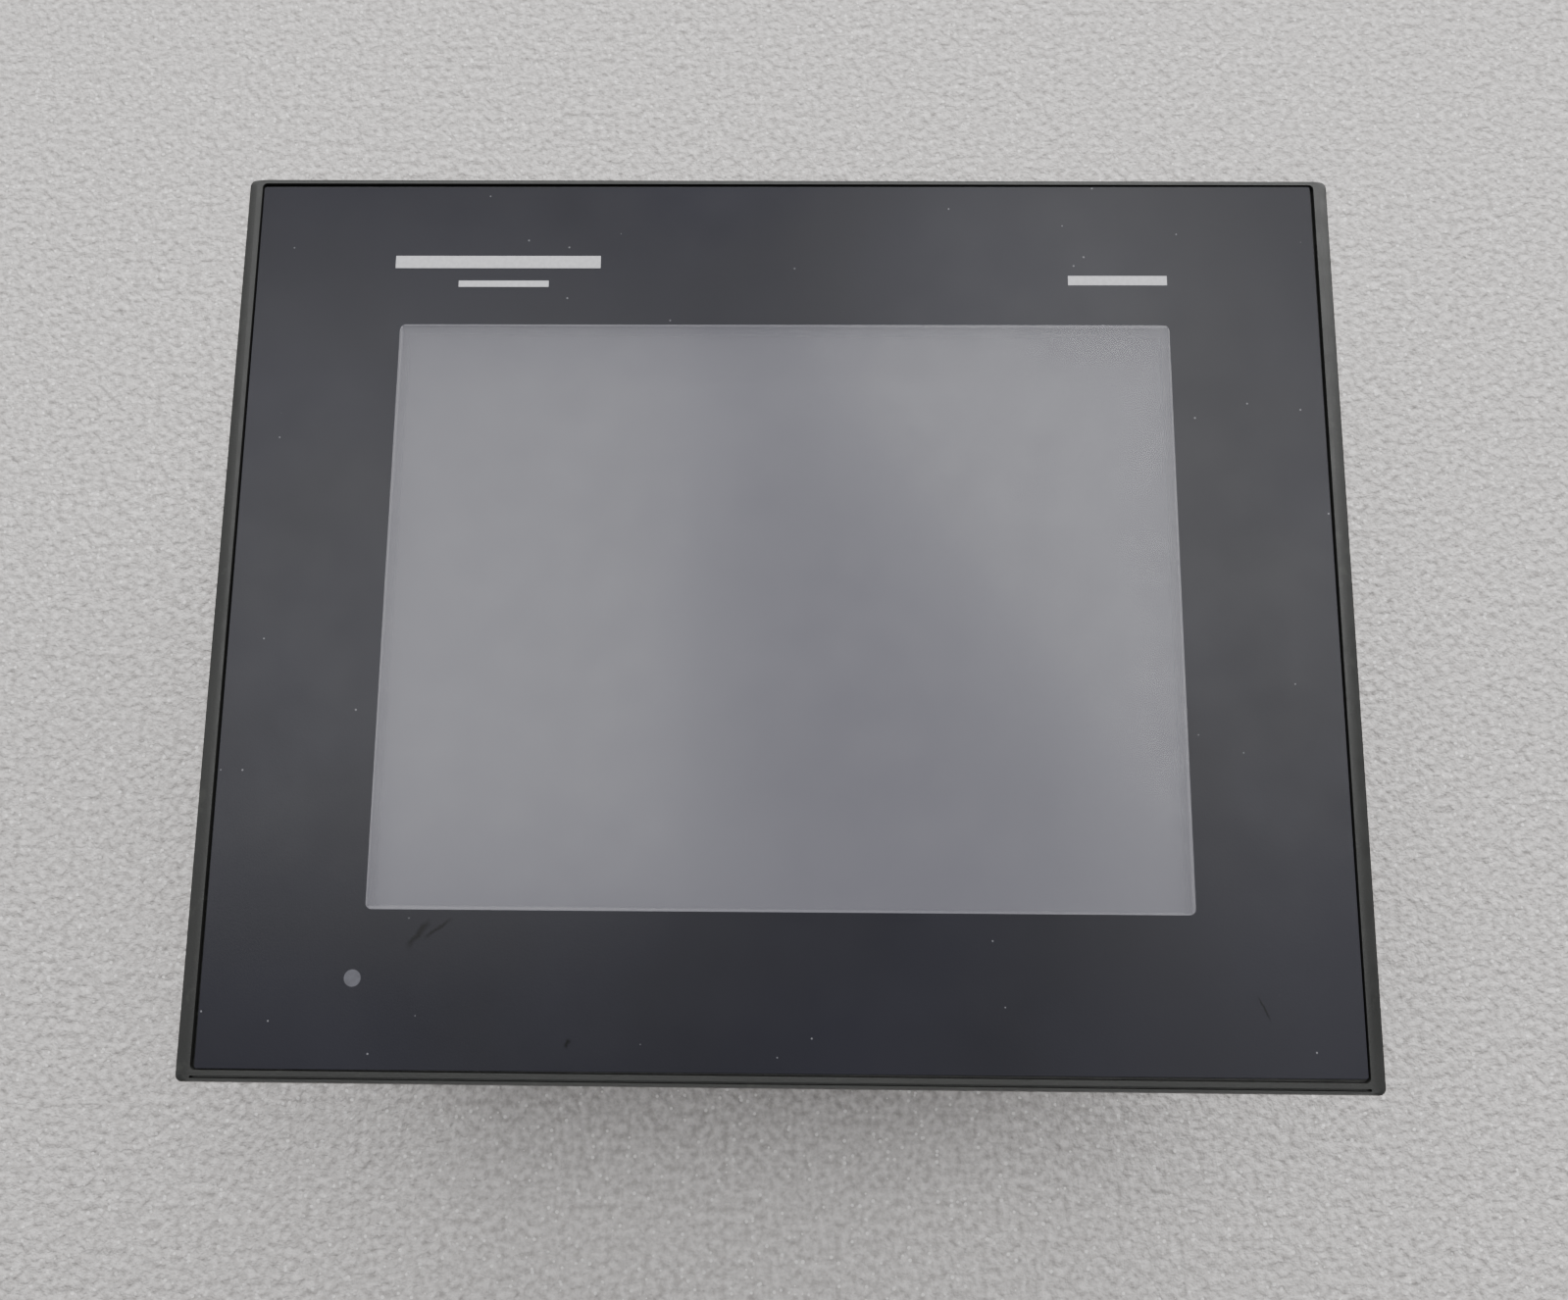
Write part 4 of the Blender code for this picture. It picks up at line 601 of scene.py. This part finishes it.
def build_film():
    """The one film, as its printed border, its clear window and the dot over the status light."""
    low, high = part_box("front_sheet")
    half_x, half_y = WINDOW_SIZE[0] / 2, WINDOW_SIZE[1] / 2
    lamp_x, lamp_y = LAMP_PLACE

    def window_block(name, spare):
        block = start_box(name, (-half_x, -half_y, low.z - spare), (half_x, half_y, high.z + spare))
        return round_upright(block, WINDOW_CORNER)

    def lamp_rod(name, spare):
        return start_rod(name, LAMP_RADIUS, (lamp_x, lamp_y, low.z - spare),
                         (lamp_x, lamp_y, high.z + spare), 48)

    border = round_upright(start_box("film_border", low, high), FILM_CORNER)
    border = soften(border, FILM_EDGE)
    carve(border, window_block("window_tool", MM))
    carve(border, lamp_rod("lamp_tool", MM))
    hand_over(lay_askew(border), "printed_film", "panel", "printed_film", "front_sheet")
    window = lay_askew(window_block("film_window", 0.0))
    hand_over(window, "window_film", "panel", "printed_film")
    dot = lay_askew(lamp_rod("film_lamp_dot", 0.0))
    hand_over(dot, "lamp_window", "panel", "printed_film")


def build_print():
    """Plain off-white bars where such a panel carries its printing."""
    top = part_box("front_sheet")[1].z
    for name, left, right, y, thick in PRINT_BARS:
        bar = start_box(name, (left * MM, y * MM - thick * MM / 2, top),
                        (right * MM, y * MM + thick * MM / 2, top + PRINT_HEIGHT))
        round_upright(bar, 0.49 * thick * MM, 8)
        hand_over(lay_askew(bar), "screen_print", "panel", "printed_film")


def build_bezel():
    softened_node("front_bezel", "bezel", "bezel_plastic", BEZEL_EDGE)


# ---------------------------------------------------------------- rear and ports
def build_case():
    softened_node("rear_housing", "rear_case", "housing_plastic", CASE_EDGE)
    softened_node("sd_card_cover", "card_cover", "housing_plastic", SMALL_PART_EDGE)
    for number in range(1, 5):
        softened_node(f"case_screw_{number}", f"case_screw_turned_{number}", "plated_steel",
                      SOFT_EDGE)


def build_jack_contacts():
    """Eight gold spring wires in the roof of each modular jack, one pitch apart."""
    for jack in ("ethernet_jack", "serial_jack"):
        low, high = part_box(jack)
        first_x = (low.x + high.x) / 2 - (JACK_WIRES - 1) / 2 * JACK_PITCH
        front_y = low.y + JACK_WIRE_INSET
        roof_z = high.z - JACK_WIRE_DROP
        wire = start_box(jack.replace("jack", "contacts"),
                         (first_x - JACK_WIRE / 2, front_y, roof_z - JACK_WIRE),
                         (first_x + JACK_WIRE / 2, front_y + JACK_WIRE, roof_z))
        for step in JACK_WIRE_RUN:
            pick(wire, "FACE", lambda face: face.normal.y > 0.8)
            bpy.ops.mesh.extrude_region_move(TRANSFORM_OT_translate={"value": step})
            leave_edit()
        soften(wire, WIRE_EDGE, 1, 50)
        copies_along(wire, [(k * JACK_PITCH, 0, 0) for k in range(1, JACK_WIRES)])
        hand_over(wire, "gold_contact", "panel", "nickel_plate")
        softened_node(jack, jack + "_shell", "connector_black", SMALL_PART_EDGE)


def build_serial_port():
    """The shell, its two locknuts and the insulator, with rounded edges."""
    softened_node("serial_port_shell", "serial_shell", "nickel_plate", SHELL_EDGE)
    for side in ("left", "right"):
        softened_node(f"serial_hexnut_{side}", f"serial_locknut_{side}", "nickel_plate",
                      SMALL_PART_EDGE)
    softened_node("serial_port_insert", "serial_insulator", "connector_black", FINE_EDGE)


def build_supply_plug():
    softened_node("power_header", "supply_header", "connector_black", SMALL_PART_EDGE)
    softened_node("terminal_plug", "supply_plug_body", "terminal_green", SOFT_EDGE)
    for number in range(1, 4):
        softened_node(f"terminal_screw_{number}", f"clamp_screw_{number}", "plated_steel",
                      SMALL_PART_EDGE)


def build_usb():
    for port, blades in USB_BLADES.items():
        softened_node(port + "_shell", port + "_can", "nickel_plate", SOCKET_EDGE)
        softened_node(port + "_tongue", port + "_blade", "connector_black", FINE_EDGE)
        low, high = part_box(port + "_tongue")
        width = (high.x - low.x) / (2 * blades)
        strip = start_box(port + "_contacts",
                          (low.x + width / 2, low.y + USB_CONTACT_INSET, low.z - USB_CONTACT_OUT),
                          (low.x + 1.5 * width, high.y - MM, low.z + USB_CONTACT_IN))
        soften(strip, THIN_EDGE, 1)
        copies_along(strip, [(2 * width * k, 0, 0) for k in range(1, blades)])
        hand_over(strip, "gold_contact", "panel", "nickel_plate")


def finish_other_nodes():
    """Every CAD node still shown takes the finish of its slot."""
    for name, node in NODES.items():
        node.data.materials.clear()
        node.data.materials.append(FINISHES[SLOT_OF_NODE[name]])


# ---------------------------------------------------------------- studio
def build_floor():
    leave_edit()
    bpy.ops.object.select_all(action="DESELECT")
    bpy.ops.mesh.primitive_plane_add(size=FLOOR_SIZE, location=(0, 0, -FLOOR_GAP))
    floor = bpy.context.active_object
    floor.name = "floor"
    finish, tree, shader, place = new_finish("pale_pressed_board", Roughness=0.75)
    ground = mottled(tree, place, linear("#b3afac"), linear("#e1ddda"), 1.4, 5.0)
    # Painted glints: pale specks near 0.6 mm that stand in for the sparkle of the board under the lights
    colour = add(tree, "MixRGB", {"Fac": dust_and_glint_specks(tree, place, 1.3, 0.3, 0.25), "Color1": ground,
                                  "Color2": linear("#f4f1ee")})
    tree.links.new(colour.outputs["Color"], shader.inputs["Base Color"])
    raise_grain(tree, shader, speckled(tree, place, 1.6, 0.0, 1.0, 3.0), 0.45 * MM)
    floor.data.materials.append(finish)


def add_softbox(name, place, size, power, turn=0.0, aim=None):
    """A soft rectangular light that faces straight down, or the aim; turn is its turn in degrees."""
    light = bpy.data.lights.new(name, "AREA")
    light.shape = "RECTANGLE"
    light.size, light.size_y = size
    light.energy = power
    lamp = bpy.data.objects.new(name, light)
    lamp.location = place
    lamp.rotation_euler = (0, 0, math.radians(turn))
    if aim:
        lamp.rotation_euler = (Vector(aim) - Vector(place)).to_track_quat("-Z", "Y").to_euler()
    bpy.context.scene.collection.objects.link(lamp)


def build_light():
    world = bpy.data.worlds.new("studio")
    bpy.context.scene.world = world
    world.use_nodes = True
    sky = world.node_tree.nodes["Background"]
    sky.inputs["Color"].default_value = linear("#f0f0f6")
    sky.inputs["Strength"].default_value = SKY_STRENGTH
    # Low lights beyond the upper edge give the soft shadow under the lower one, and weak overhead
    # ones lie in the film's and the screen's gloss, left and right of the middle.
    for name, place, size, power in AIMED_LIGHTS:
        add_softbox(name, place, size, power, aim=AIM)
    for name, place, size, power, turn in OVERHEAD_LIGHTS:
        add_softbox(name, place, size, power, turn)


def build_camera():
    view = bpy.data.cameras.new("camera")
    view.lens = CAMERA_LENS
    view.sensor_width = SENSOR_WIDTH
    view.clip_start = 0.01
    camera = bpy.data.objects.new("camera", view)
    front_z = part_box("front_bezel")[1].z
    camera.location = Vector(CAMERA_PLACE) + Vector((0, 0, front_z))
    camera.rotation_euler = [math.radians(angle) for angle in CAMERA_TURN]
    bpy.context.scene.collection.objects.link(camera)
    bpy.context.scene.camera = camera


build_camera()
build_light()
build_floor()
build_bezel()
build_film()
build_print()
build_case()
build_jack_contacts()
build_serial_port()
build_supply_plug()
build_usb()
finish_other_nodes()
